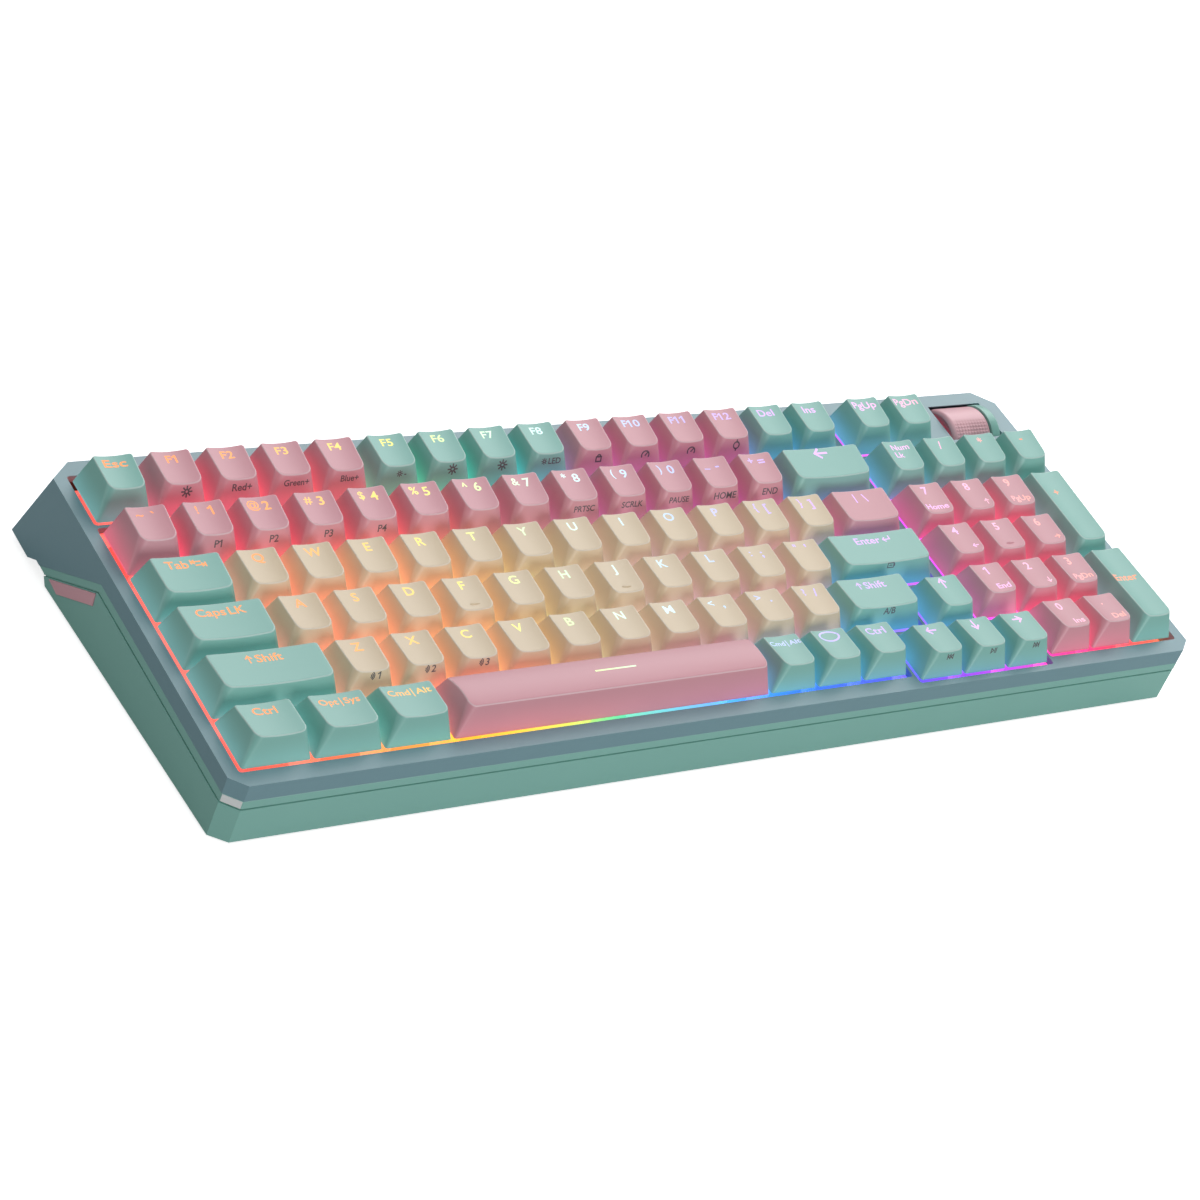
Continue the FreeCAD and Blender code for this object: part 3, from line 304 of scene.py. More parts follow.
def rounded_outline(corners: Array, radii: Array, shares: Array, arc_points: int = 7) -> Array:
    """A four-cornered outline with round corners and extra points along its sides.

    Each corner becomes an arc that touches both sides: its ends lie radius / tan(half angle) from the corner,
    and its points turn evenly about the centre between them. Side points lie at fixed shares of each side.

    Args:
        corners: Four counter-clockwise corners, (x, y, z) rows.
        radii: Radius of each corner.
        shares: Where the extra points lie along each side, from 0 to 1.
        arc_points: Points along each arc.

    Returns:
        The outline's points, (x, y, z) rows.
    """
    back = unit(np.roll(corners, 1, axis=0) - corners)
    ahead = unit(np.roll(corners, -1, axis=0) - corners)
    half = np.arccos(np.clip((back * ahead).sum(1), -1, 1)) / 2
    reach = (radii / np.tan(half))[:, None]
    starts, ends = corners + back * reach, corners + ahead * reach
    centres = corners + unit(back + ahead) * (radii / np.sin(half))[:, None]
    turn = (math.pi - 2 * half)[:, None]
    step = np.linspace(0.0, 1.0, arc_points)[None, :]
    from_start = (np.sin((1 - step) * turn) / np.sin(turn))[..., None]
    from_end = (np.sin(step * turn) / np.sin(turn))[..., None]
    arcs = centres[:, None] + (starts - centres)[:, None] * from_start + (ends - centres)[:, None] * from_end
    along = shares[None, :, None]
    sides = ends[:, None] * (1 - along) + np.roll(starts, -1, axis=0)[:, None] * along
    return np.concatenate([arcs, sides], axis=1).reshape(-1, 3)


# ---- node trees ---------------------------------------------------------------------------------
class Tree:
    """Short-hand for building a shader tree."""

    def __init__(self, tree: bpy.types.NodeTree) -> None:
        """Keeps the tree that the nodes go into."""
        self.tree = tree

    def node(self, kind: str, inputs: dict | None = None, **settings: object) -> bpy.types.Node:
        """Adds a node.

        Args:
            kind: Blender's type name, without its ShaderNode prefix.
            inputs: Values or output sockets by input name or number.
            settings: Attributes of the node.

        Returns:
            The new node.
        """
        made = self.tree.nodes.new("ShaderNode" + kind)
        for name, value in settings.items():
            setattr(made, name, value)
        self.feed(made, inputs or {})
        return made

    def feed(self, node: bpy.types.Node, inputs: dict) -> None:
        """Sets a node's inputs.

        Args:
            node: Node that takes them.
            inputs: Values or output sockets by input name or number.
        """
        for name, value in inputs.items():
            if isinstance(value, bpy.types.NodeSocket):
                self.tree.links.new(value, node.inputs[name])
            else:
                node.inputs[name].default_value = value

    def math(self, operation: str, first: object, second: object,
             clamp: bool = False) -> bpy.types.NodeSocket:
        """Output of a math node on two values or sockets."""
        return self.node("Math", {0: first, 1: second}, operation=operation, use_clamp=clamp).outputs[0]

    def mix(self, share: object, first: object, second: object, blend: str = "MIX") -> bpy.types.NodeSocket:
        """Colour between two colours by a share."""
        made = self.node("Mix", {0: share, 6: first, 7: second}, data_type="RGBA", blend_type=blend)
        return made.outputs[2]

    def dot_height(self, vector: bpy.types.NodeSocket) -> bpy.types.NodeSocket:
        """How far a vector reaches along key space's Z."""
        along = SPACE.height_direction()
        return self.node("VectorMath", {0: vector, 1: along}, operation="DOT_PRODUCT").outputs[1]

    def scaled(self, vector: bpy.types.NodeSocket, by: bpy.types.NodeSocket) -> bpy.types.NodeSocket:
        """A vector or colour times a number."""
        return self.node("VectorMath", {0: vector, 3: by}, operation="SCALE").outputs[0]

    def ramp(self, share: bpy.types.NodeSocket, stops: list[tuple[float, Colour]]) -> bpy.types.NodeSocket:
        """Colour read from a ramp of (place, colour) stops."""
        made = self.node("ValToRGB", {0: share})
        elements = made.color_ramp.elements
        while len(elements) < len(stops):
            elements.new(0.5)
        for element, (place, colour) in zip(elements, stops):
            element.position = place
            element.color = (*colour, 1.0)
        return made.outputs[0]


def new_group(name: str, inputs: dict[str, float | Colour],
              outputs: dict[str, str]) -> tuple[Tree, dict[str, bpy.types.NodeSocket], bpy.types.Node]:
    """A shader node group with named inputs and outputs.

    Args:
        name: Name of the group.
        inputs: Default of each input, a number or a colour.
        outputs: Socket kind of each output, Float, Color or Vector.

    Returns:
        Its tree, its input sockets by name and its output node.
    """
    tree = bpy.data.node_groups.new(name, "ShaderNodeTree")
    for label, value in inputs.items():
        kind = "NodeSocketColor" if isinstance(value, tuple) else "NodeSocketFloat"
        socket = tree.interface.new_socket(label, in_out="INPUT", socket_type=kind)
        socket.default_value = (*value, 1.0) if isinstance(value, tuple) else value
    for label, kind in outputs.items():
        tree.interface.new_socket(label, in_out="OUTPUT", socket_type="NodeSocket" + kind)
    entry = tree.nodes.new("NodeGroupInput")
    leave = tree.nodes.new("NodeGroupOutput")
    return Tree(tree), dict(entry.outputs.items()), leave


def linear(red: int, green: int, blue: int) -> Colour:
    """Screen colour of three bytes as linear light."""
    def one(value: int) -> float:
        share = value / 255
        return share / 12.92 if share <= 0.04045 else ((share + 0.055) / 1.055) ** 2.4
    return one(red), one(green), one(blue)


GLOW_STOPS = [
    (0.00, (1.00, 0.05, 0.03)), (0.09, (1.00, 0.11, 0.02)), (0.19, (1.00, 0.33, 0.00)),
    (0.27, (1.00, 0.62, 0.01)), (0.325, (0.45, 0.80, 0.06)), (0.365, (0.05, 0.78, 0.32)),
    (0.42, (0.03, 0.66, 0.66)), (0.48, (0.03, 0.40, 1.00)), (0.56, (0.02, 0.14, 1.00)),
    (0.67, (0.08, 0.06, 1.00)), (0.74, (0.30, 0.03, 1.00)), (0.80, (0.62, 0.03, 0.80)),
    (0.87, (1.00, 0.03, 0.30)), (0.94, (1.00, 0.04, 0.08)), (1.00, (1.00, 0.10, 0.02)),
]
LEGEND_STOPS = [
    (0.00, linear(255, 150, 80)), (0.12, linear(255, 165, 90)), (0.20, linear(255, 210, 110)),
    (0.29, linear(250, 245, 130)), (0.35, linear(225, 255, 190)), (0.41, linear(225, 255, 240)),
    (0.46, linear(215, 245, 255)), (0.52, linear(195, 220, 255)), (0.60, linear(200, 185, 255)),
    (0.70, linear(222, 180, 255)), (0.80, linear(245, 190, 250)), (0.88, linear(255, 190, 215)),
    (0.93, linear(255, 175, 165)), (0.98, linear(255, 160, 110)),
]


GRAIN_SCALE = 2600.0
GLOW_REACH = 8.0


class Effects:
    """Shader groups that several finishes share, each built once."""

    def __init__(self) -> None:
        """Builds the groups."""
        self.grain = self._grain()
        self.backlight = self._backlight()
        self.underglow = self._underglow()
        self.rim = self._rim()

    def _grain(self) -> bpy.types.NodeTree:
        """Moulded grain: fine noise for bump and roughness, and a faint broad drift of colour."""
        sockets = {
            "Colour": (0.5, 0.5, 0.5), "Scale": GRAIN_SCALE, "Roughness": 0.5, "Spread": 0.08, "Drift": 0.04}
        outputs = {"Colour": "Color", "Roughness": "Float", "Height": "Float"}
        tree, given, leave = new_group("moulded_grain", sockets, outputs)
        place = tree.node("TexCoord").outputs["Object"]
        fine = tree.node("TexNoise", {"Vector": place, "Scale": given["Scale"], "Detail": 2.0}).outputs["Fac"]
        broad = tree.node("TexNoise", {"Vector": place, "Scale": 38.0, "Detail": 3.0}).outputs["Fac"]
        uneven = tree.math("MULTIPLY", tree.math("SUBTRACT", fine, 0.5), given["Spread"])
        drift = tree.math("MULTIPLY", tree.math("SUBTRACT", broad, 0.5), given["Drift"])
        tree.feed(leave, {
            "Colour": tree.scaled(given["Colour"], tree.math("ADD", drift, 1.0)),
            "Roughness": tree.math("ADD", given["Roughness"], uneven), "Height": fine})
        return tree.tree

    def _backlight(self) -> bpy.types.NodeTree:
        """Colour of the light under the keys, running through the spectrum from left to right."""
        tree, _, leave = new_group("backlight", {}, {"Glow": "Color", "Legend": "Color"})
        place = tree.node("TexCoord").outputs["Object"]
        across = tree.node("SeparateXYZ", {0: place}).outputs[0]
        low = SPACE.origin[0]
        share = tree.node("MapRange", {0: across, 1: low, 2: low + LAYOUT_WIDTH * MM}).outputs[0]
        tree.feed(leave, {"Glow": tree.ramp(share, GLOW_STOPS), "Legend": tree.ramp(share, LEGEND_STOPS)})
        return tree.tree

    def _underglow(self) -> bpy.types.NodeTree:
        """Painted glow: emission in place of backlight that climbs the sides of the caps and fades towards
        their tops.

        Half of it is the plastic's own tint, which the light takes on inside the cap, and half is the
        backlight's colour seen through that tint. Faces that look up take none, the front row's faces take
        less than those inside the field, and broad noise makes it uneven.
        """
        front_share, inside_depth, fade_power, level_loss = 0.4, 6.0, 1.6, 1.6
        sockets = {"Tint": (1.0, 1.0, 1.0), "Reach": GLOW_REACH}
        tree, given, leave = new_group("underglow", sockets, {"Glow": "Color"})
        place = tree.node("TexCoord").outputs["Object"]
        up = tree.math("SUBTRACT", tree.dot_height(place), SPACE.origin[2])
        climbed = tree.math("DIVIDE", tree.math("MULTIPLY", up, 1 / MM), given["Reach"])
        fade = tree.math("POWER", tree.math("SUBTRACT", 1.0, climbed, clamp=True), fade_power)
        level = tree.dot_height(tree.node("NewGeometry").outputs["Normal"])
        side = tree.math("SUBTRACT", 1.0, tree.math("MULTIPLY", level, level_loss), clamp=True)
        depth = tree.node("SeparateXYZ", {0: place}).outputs[1]
        front = float(SPACE.world(np.array([[0.0, 0.0, 5.0]]))[0, 1])
        inside = tree.node("MapRange", {
            0: depth, 1: front, 2: front + inside_depth * MM, 3: front_share, 4: 1.0}).outputs[0]
        share = tree.math("MULTIPLY", tree.math("MULTIPLY", fade, side), inside)
        spots = tree.node("TexNoise", {"Vector": place, "Scale": 55.0, "Detail": 1.0}).outputs["Fac"]
        share = tree.math("MULTIPLY", share, tree.math("ADD", spots, 0.5))
        seen = tree.node("Group", node_tree=self.backlight).outputs["Glow"]
        colour = tree.mix(0.5, tree.mix(1.0, seen, given["Tint"], "MULTIPLY"), given["Tint"])
        tree.feed(leave, {"Glow": tree.scaled(colour, share)})
        return tree.tree

    def _rim(self) -> bpy.types.NodeTree:
        """Painted highlight: lightens a colour towards white along its piece's outer edges, in place of the
        light that the rounded edges catch.
        """
        sockets = {"Colour": (0.5, 0.5, 0.5), "Amount": 0.35}
        tree, given, leave = new_group("edge_polish", sockets, {"Colour": "Color"})
        highlight_weight = tree.node("Attribute", attribute_name="polish").outputs["Fac"]
        share = tree.math("MULTIPLY", highlight_weight, given["Amount"])
        tree.feed(leave, {"Colour": tree.mix(share, given["Colour"], (1.0, 1.0, 1.0, 1.0))})
        return tree.tree


EFFECTS = Effects()


# ---- finishes -----------------------------------------------------------------------------------
def look_name(name: str) -> str:
    """Name of a finish's material, apart from the plain CAD material of the same slot."""
    return name + "_look"


def blank_material(name: str) -> tuple[bpy.types.Material, Tree, bpy.types.Node]:
    """A new material with its tree and its Principled shader."""
    material = bpy.data.materials.new(look_name(name))
    material.use_nodes = True
    return material, Tree(material.node_tree), material.node_tree.nodes["Principled BSDF"]


@dataclass(frozen=True)
class Plastic:
    """Moulded plastic: colour, roughness, grain, a painted highlight along its rounded edges, and how much
    painted backlight glow climbs it.
    """

    name: str
    colour: Colour
    roughness: float
    grain: float
    scale: float = GRAIN_SCALE
    polish: float = 0.0
    glow: Colour | None = None
    reach: float = GLOW_REACH
    coat: float = 0.0

    def material(self) -> bpy.types.Material:
        """Builds the material."""
        material, tree, shader = blank_material(self.name)
        sockets = {"Colour": (*self.colour, 1.0), "Scale": self.scale, "Roughness": self.roughness}
        grain = tree.node("Group", sockets, node_tree=EFFECTS.grain)
        colour, height = grain.outputs["Colour"], grain.outputs["Height"]
        # Painted highlight: the colour is lightened towards white along the rounded edges.
        if self.polish:
            sockets = {"Colour": colour, "Amount": self.polish}
            colour = tree.node("Group", sockets, node_tree=EFFECTS.rim).outputs[0]
        bump = tree.node("Bump", {"Height": height, "Strength": self.grain, "Distance": 0.0001})
        tree.feed(shader, {
            "Base Color": colour, "Roughness": grain.outputs["Roughness"], "Normal": bump.outputs[0],
            "Coat Weight": self.coat, "Specular IOR Level": 0.9})
        # Painted glow: emission on the caps' lower sides in place of backlight reaching them.
        if self.glow:
            sockets = {"Reach": self.reach, "Tint": (*self.glow, 1.0)}
            glow = tree.node("Group", sockets, node_tree=EFFECTS.underglow)
            tree.feed(shader, {"Emission Color": glow.outputs[0], "Emission Strength": 1.0})
        return material


@dataclass(frozen=True)
class Lit:
    """Part with emission in the backlight's colour over its own colour, and how brightly it glows: on the
    light chips this is the lamp itself, on the plate, housings and legends it is painted glow in place of the
    light that passes through or bounces off them.
    """

    name: str
    colour: Colour
    strength: float
    output: str = "Glow"

    def material(self) -> bpy.types.Material:
        """Builds the material."""
        material, tree, shader = blank_material(self.name)
        sockets = {"Colour": (*self.colour, 1.0), "Roughness": 0.5}
        grain = tree.node("Group", sockets, node_tree=EFFECTS.grain)
        glow = tree.node("Group", node_tree=EFFECTS.backlight).outputs[self.output]
        tree.feed(shader, {
            "Base Color": grain.outputs["Colour"], "Roughness": grain.outputs["Roughness"],
            "Emission Color": glow, "Emission Strength": self.strength})
        return material


@dataclass(frozen=True)
class Metal:
    """Metal with fine drawn lines along X."""

    name: str
    colour: Colour
    roughness: float = 0.3

    def material(self) -> bpy.types.Material:
        """Builds the material."""
        material, tree, shader = blank_material(self.name)
        place = tree.node("TexCoord").outputs["Object"]
        drawn = tree.node("Mapping", {"Vector": place, "Scale": (60.0, 3000.0, 3000.0)}).outputs[0]
        grooves = tree.node("TexNoise", {"Vector": drawn, "Scale": 1.0, "Detail": 3.0}).outputs["Fac"]
        spread = tree.math("MULTIPLY", tree.math("SUBTRACT", grooves, 0.5), 0.2)
        darker = tuple(0.8 * c for c in self.colour)
        tree.feed(shader, {
            "Roughness": tree.math("ADD", spread, self.roughness), "Metallic": 1.0,
            "Base Color": tree.mix(grooves, (*darker, 1.0), (*self.colour, 1.0))})
        return material


class Finish(Enum):
    """Every finish of the object."""

    COVER = Plastic("cover_blue_grey", linear(120, 158, 168), 0.42, 0.05, 2200.0)
    CASE = Plastic("case_teal", linear(138, 195, 184), 0.42, 0.04, 2200.0)
    ACCENT = Plastic("accent_pink", linear(234, 178, 188), 0.42, 0.03, 2200.0)
    # Keycaps take a painted highlight along their rounded edges and a painted backlight glow on their sides.
    KEY_TEAL = Plastic("key_teal", linear(132, 192, 182), 0.45, 0.06, polish=0.4, glow=(0.14, 0.66, 0.74))
    KEY_PINK = Plastic("key_pink", linear(214, 150, 162), 0.45, 0.06, polish=0.4,
                       glow=(0.80, 0.15, 0.31), reach=10.0)
    KEY_BEIGE = Plastic("key_beige", linear(220, 200, 168), 0.45, 0.06, polish=0.4,
                        glow=(0.88, 0.40, 0.36), reach=11.0)
    PRINT = Plastic("front_print", linear(92, 88, 94), 0.6, 0.02)
    # Legends, plate and housings glow by painted emission; the light chips are the lamps.
    LEGEND = Lit("lit_legend", (0.05, 0.05, 0.05), 1.15, "Legend")
    PLATE = Lit("lit_plate", (0.75, 0.75, 0.75), 1.0)
    HOUSING = Lit("frosted_housing", (0.7, 0.7, 0.7), 0.9)
    CHIP = Lit("light_chip", (0.9, 0.9, 0.9), 6.0)
    # Painted highlight: a glossy near-white plate on the front corners' facets in place of the reflection
    # seen there.
    TIP = Plastic("corner_tip", linear(236, 240, 240), 0.25, 0.01, coat=0.4)
    BLACK = Plastic("black_plastic", (0.02, 0.02, 0.022), 0.45, 0.05)
    WHITE = Plastic("white_plastic", (0.78, 0.78, 0.76), 0.45, 0.04)
    RUBBER = Plastic("rubber", (0.025, 0.027, 0.027), 0.8, 0.3, 1200.0)
    FOAM = Plastic("foam", (0.03, 0.03, 0.033), 0.95, 0.9, 900.0)
    BOARD = Plastic("board_green", (0.012, 0.06, 0.035), 0.3, 0.03, 900.0, coat=0.5)
    WRAP = Plastic("battery_wrap", (0.02, 0.03, 0.12), 0.25, 0.1, 300.0, coat=0.5)
    STEEL = Metal("steel", (0.62, 0.63, 0.65))

    @property
    def made(self) -> bpy.types.Material:
        """This finish's material, built the first time it is asked for."""
        return bpy.data.materials.get(look_name(self.value.name)) or self.value.material()


# ---- keycaps ------------------------------------------------------------------------------------
ROW_PROFILES = [
    (10.4, 3.9, 11.3, 1.5), (10.8, 4.0, 11.8, 1.7), (9.3, 3.2, 9.7, 1.7),
    (9.2, 3.1, 9.1, 1.7), (9.6, 3.0, 9.1, 1.9), (10.1, 2.8, 8.8, 2.1),
]


@dataclass(frozen=True)
class CapSize:
    """Sizes of one kind of cap, and the surfaces worked out from them."""

    width: float
    depth: float
    front_height: float
    front_setback: float
    back_height: float
    back_setback: float
    crowned: bool = False
    side_front: float = 3.1
    side_back: float = 2.5
    dish: float = 0.8
    crown: float = 1.0
    wall: float = 1.5
    roof: float = 1.9
    edge: float = 0.42
    rim_width: float = 0.15

    @property
    def half_width(self) -> float:
        """Half the rim's width."""
        return self.width * KEY_PITCH / 2 - CAP_SIDE_GAP

    @property
    def half_depth(self) -> float:
        """Half the rim's depth."""
        return self.depth * KEY_PITCH / 2 - CAP_SIDE_GAP

    @property
    def front(self) -> float:
        """Place of the top's front edge."""
        return self.front_setback - self.half_depth

    @property
    def back(self) -> float:
        """Place of the top's back edge."""
        return self.half_depth - self.back_setback

    def top_height(self, x: Array, y: Array) -> Array:
        """Height of the top surface.

        The sloping plane between the two edges, lowered by a cylinder whose axis runs front to back (its
        sagitta is the dish's depth), or on the crowned cap raised by a cylinder that runs across.
        """
        slope = math.atan2(self.back_height - self.front_height, self.back - self.front)
        plane = self.front_height + (y - self.front) * math.tan(slope)
        if self.crowned:
            half = (self.back - self.front) / 2
            radius = half ** 2 / (2 * self.crown) + self.crown / 2
            away = y - (self.back + self.front) / 2
            return plane + (np.sqrt(radius ** 2 - away ** 2) - (radius - self.crown)) / math.cos(slope)
        half = self.half_width - self.side_back
        radius = (half ** 2 + self.dish ** 2) / (2 * self.dish)
        across = np.minimum(np.abs(x), half)
        return plane - (np.sqrt(radius ** 2 - across ** 2) - (radius - self.dish)) / math.cos(slope)

    def corners(self, share: float, inset: float, drop: float = 0.0) -> Array:
        """Four corners of a section between the rim and the top.

        Args:
            share: 0 at the rim, 1 at the top plane.
            inset: How far the section is moved inwards.
            drop: How far the top plane is lowered first.
        """
        w, d = self.half_width - inset, self.half_depth - inset
        f, b = self.side_front * share, self.side_back * share
        near, far = -d + self.front_setback * share, d - self.back_setback * share
        low, high = (self.front_height - drop) * share, (self.back_height - drop) * share
        return np.array([(-w + f, near, low), (w - f, near, low), (w - b, far, high), (-w + b, far, high)])

    def shell(self) -> tuple[Array, Faces, Array]:
        """Closed cap: hollow underside, thin rim, straight sides, rounded edge and dished or crowned top.

        Every ring is a rounded outline with the same number of points. The side lines are followed up to
        where they meet the top surface; there a curve with its control point on the meeting line joins side
        and top, and inner rings shrink towards the top's middle.

        Returns:
            Points, faces and each vertex's weight of painted highlight, which is full along the rounded edge.
        """
        shares = np.array([0.03, 0.18, 0.34, 0.5, 0.66, 0.82, 0.97])
        low_radii, high_radii = np.full(4, 0.8), np.array([2.6, 2.6, 1.0, 1.0])

        def ring(corners: Array, radii: Array) -> Array:
            return rounded_outline(corners, radii, shares)

        rim = ring(self.corners(0.0, 0.0), low_radii)
        top = ring(self.corners(1.0, 0.0), high_radii)
        meet = np.ones(len(rim))
        for _ in range(8):
            at = rim + (top - rim) * meet[:, None]
            meet += (self.top_height(at[:, 0], at[:, 1]) - at[:, 2]) / (top - rim)[:, 2]
        edge = rim + (top - rim) * meet[:, None]
        below = edge - unit(edge - rim) * self.edge
        inset = ring(self.corners(1.0, self.edge), high_radii - self.edge) + (rim - top) * (1 - meet)[:, None]
        inset[:, 2] = self.top_height(inset[:, 0], inset[:, 1])
        drop = self.roof + self.dish
        share = 1 - drop / min(self.front_height, self.back_height)
        under_rim = ring(self.corners(0.0, self.wall), low_radii)
        under_top = ring(self.corners(1.0, 0.0), low_radii)
        under_top[:, :2] = under_rim[:, :2] + (top - rim)[:, :2] * share
        run = (under_top[:, 1] - self.front) / (self.back - self.front)
        under_top[:, 2] = self.front_height + run * (self.back_height - self.front_height) - drop
        roof_middle = under_top.mean(0)
        rim_inside = ring(self.corners(0.0, self.rim_width), low_radii)
        rings = [(roof_middle + under_top) / 2, under_top, under_rim, rim_inside]
        rings += [rim + (below - rim) * climb for climb in (0.015, 0.06, 0.33, 0.62, 0.9, 0.97)]
        polish = [0.0] * len(rings)
        # The painted highlight weight rises to full across the rounded edge.
        for turn in (0.0, 0.25, 0.5, 0.75, 1.0):
            polish.append(math.sin(turn * math.pi) ** 2)
            rings.append((1 - turn) ** 2 * below + 2 * turn * (1 - turn) * edge + turn ** 2 * inset)
        middle = np.array([0.0, (self.front + self.back) / 2, 0.0])
        for shrink in (0.95, 0.8, 0.55, 0.28):
            inner = middle + (inset - middle) * shrink
            inner[:, 2] = self.top_height(inner[:, 0], inner[:, 1])
            rings.append(inner)
            polish.append(0.0)
        middle[2] = float(self.top_height(middle[0], middle[1]))
        points = np.concatenate([*rings, roof_middle[None], middle[None]])
        return points, poled_faces(len(rings), len(rim)), np.append(np.repeat(polish, len(rim)), (0.0, 0.0))

    def front_frame(self) -> tuple[Array, Array, Array]:
        """Foot, upward direction and outward direction of the front face."""
        up = unit(np.array([0.0, self.front_setback, self.front_height]))
        return np.array([0.0, -self.half_depth, 0.0]), up, np.array([0.0, -up[2], up[1]])


# ---- legends ------------------------------------------------------------------------------------
def arc(cx: float, cy: float, radius: float, start: float, end: float, count: int = 10) -> Array:
    """Points along an arc, angles in degrees."""
    turn = np.radians(np.linspace(start, end, count))
    return np.column_stack([cx + radius * np.cos(turn), cy + radius * np.sin(turn)])


def ray_lines(cx: float, cy: float, inner: float, outer: float, count: int) -> list[Array]:
    """Short lines set out from a centre."""
    turns = np.linspace(0, 2 * math.pi, count, endpoint=False)
    return [np.array([(cx + r * math.cos(t), cy + r * math.sin(t)) for r in (inner, outer)]) for t in turns]


def lines(*runs: list[tuple[float, float]]) -> list[Array]:
    """Polylines as arrays."""
    return [np.array(run, float) for run in runs]


@dataclass(frozen=True, eq=False)
class Drawing:
    """Strokes of a mark and the width it takes, in a box one unit high."""

    width: float
    paths: list[Array]


class Mark(Enum):
    """Symbols drawn as strokes in a box one unit high, with the width each takes."""

    LEFT = Drawing(1.0, lines([(0.95, 0.5), (0.08, 0.5)], [(0.42, 0.82), (0.08, 0.5), (0.42, 0.18)]))
    RIGHT = Drawing(1.0, lines([(0.05, 0.5), (0.92, 0.5)], [(0.58, 0.82), (0.92, 0.5), (0.58, 0.18)]))
    UP = Drawing(0.8, lines([(0.4, 0.02), (0.4, 0.95)], [(0.08, 0.6), (0.4, 0.95), (0.72, 0.6)]))
    DOWN = Drawing(0.8, lines([(0.4, 0.98), (0.4, 0.05)], [(0.08, 0.4), (0.4, 0.05), (0.72, 0.4)]))
    TAB = Drawing(1.7, lines(
        [(0.15, 0.72), (1.1, 0.72)], [(0.4, 0.92), (0.15, 0.72), (0.4, 0.52)], [(0.05, 0.95), (0.05, 0.5)],
        [(0.5, 0.25), (1.45, 0.25)], [(1.2, 0.45), (1.45, 0.25), (1.2, 0.05)], [(1.57, 0.5), (1.57, 0.03)]))
    RETURN = Drawing(1.2, lines(
        [(1.1, 0.85), (1.1, 0.4), (0.08, 0.4)], [(0.38, 0.68), (0.08, 0.4), (0.38, 0.12)]))
    BAR = Drawing(6.0, lines([(0.0, 0.5), (6.0, 0.5)]))
    OVAL = Drawing(1.8, [arc(0.5, 0.5, 0.5, 0, 360, 33) * (1.8, 1.0)])
    DIVIDE = Drawing(0.2, lines([(0.1, -0.3), (0.1, 1.1)]))
    SUN = Drawing(1.0, [arc(0.5, 0.5, 0.2, 0, 360, 13)[:-1]] + ray_lines(0.5, 0.5, 0.34, 0.5, 8))
    LOCK = Drawing(0.8, lines(
        [(0.1, 0.0), (0.7, 0.0), (0.7, 0.5), (0.1, 0.5), (0.1, 0.0)]) + [arc(0.4, 0.52, 0.2, 180, 0)])
    GAUGE = Drawing(1.0, [arc(0.5, 0.25, 0.45, 200, -20, 14)] + lines([(0.5, 0.25), (0.72, 0.5)]))
    RING = Drawing(1.0, [arc(0.5, 0.5, 0.36, 0, 360, 17)] + lines(
        [(0.5, 0.86), (0.5, 1.05)], [(0.5, 0.14), (0.5, -0.05)]))
    WAVE = Drawing(0.8, [arc(0.1, 0.5, r, -50, 50, 7) for r in (0.2, 0.42, 0.64)])
    CELL = Drawing(1.5, lines(
        [(0.1, 0.15), (1.2, 0.15), (1.2, 0.85), (0.1, 0.85), (0.1, 0.15)],
        [(1.35, 0.35), (1.35, 0.65)], [(0.45, 0.5), (0.85, 0.5)]))
    BACKWARD = Drawing(1.2, lines(
        [(0.1, 0.9), (0.1, 0.1)], [(0.6, 0.85), (0.2, 0.5), (0.6, 0.15), (0.6, 0.85)],
        [(1.1, 0.85), (0.7, 0.5), (1.1, 0.15), (1.1, 0.85)]))
    PLAY = Drawing(1.2, lines(
        [(0.1, 0.85), (0.55, 0.5), (0.1, 0.15), (0.1, 0.85)],
        [(0.8, 0.85), (0.8, 0.15)], [(1.05, 0.85), (1.05, 0.15)]))
    FORWARD = Drawing(1.2, lines(
        [(1.1, 0.9), (1.1, 0.1)], [(0.6, 0.85), (1.0, 0.5), (0.6, 0.15), (0.6, 0.85)],
        [(0.1, 0.85), (0.5, 0.5), (0.1, 0.15), (0.1, 0.85)]))


def stroke(path: Array, width: float) -> tuple[Array, Faces]:
    """A flat stroke of square section along a path, in unit thickness.

    The path's two edges lie half a width to either side along its averaged normals, lengthened at corners so
    that the stroke keeps its width. A path that ends where it starts is closed.

    Args:
        path: The (x, y) points.
        width: Width of the stroke.

    Returns:
        Points with z from -0.5 to 0.5, and faces.
    """
    closed = bool(np.allclose(path[0], path[-1])) and len(path) > 3
    if closed:
        path = path[:-1]
    ahead = unit(np.roll(path, -1, axis=0) - path)
    behind = np.roll(ahead, 1, axis=0)
    if not closed:
        ahead[-1], behind[0] = ahead[-2], ahead[0]
        path = path.copy()
        path[0] -= behind[0] * width / 2
        path[-1] += ahead[-1] * width / 2
    along = unit(ahead + behind)
    normal = np.column_stack([-along[:, 1], along[:, 0]])
    mitre = np.clip((normal * np.column_stack([-ahead[:, 1], ahead[:, 0]])).sum(1), 0.35, 1.0)
    side = normal * (width / 2 / mitre)[:, None]
    left, right = path + side, path - side
    count = len(path)
    section = ((right, -0.5), (right, 0.5), (left, 0.5), (left, -0.5))
    rows = [np.column_stack([edge, np.full(count, z)]) for edge, z in section]
    points = np.stack(rows, 1).reshape(-1, 3)
    faces = ring_faces(count, 4, closed=closed)[:, ::-1].tolist()
    if not closed:
        faces.append([0, 1, 2, 3])
        faces.append([4 * count - 1, 4 * count - 2, 4 * count - 3, 4 * count - 4])
    return points, faces


MARK_STROKE = 0.15


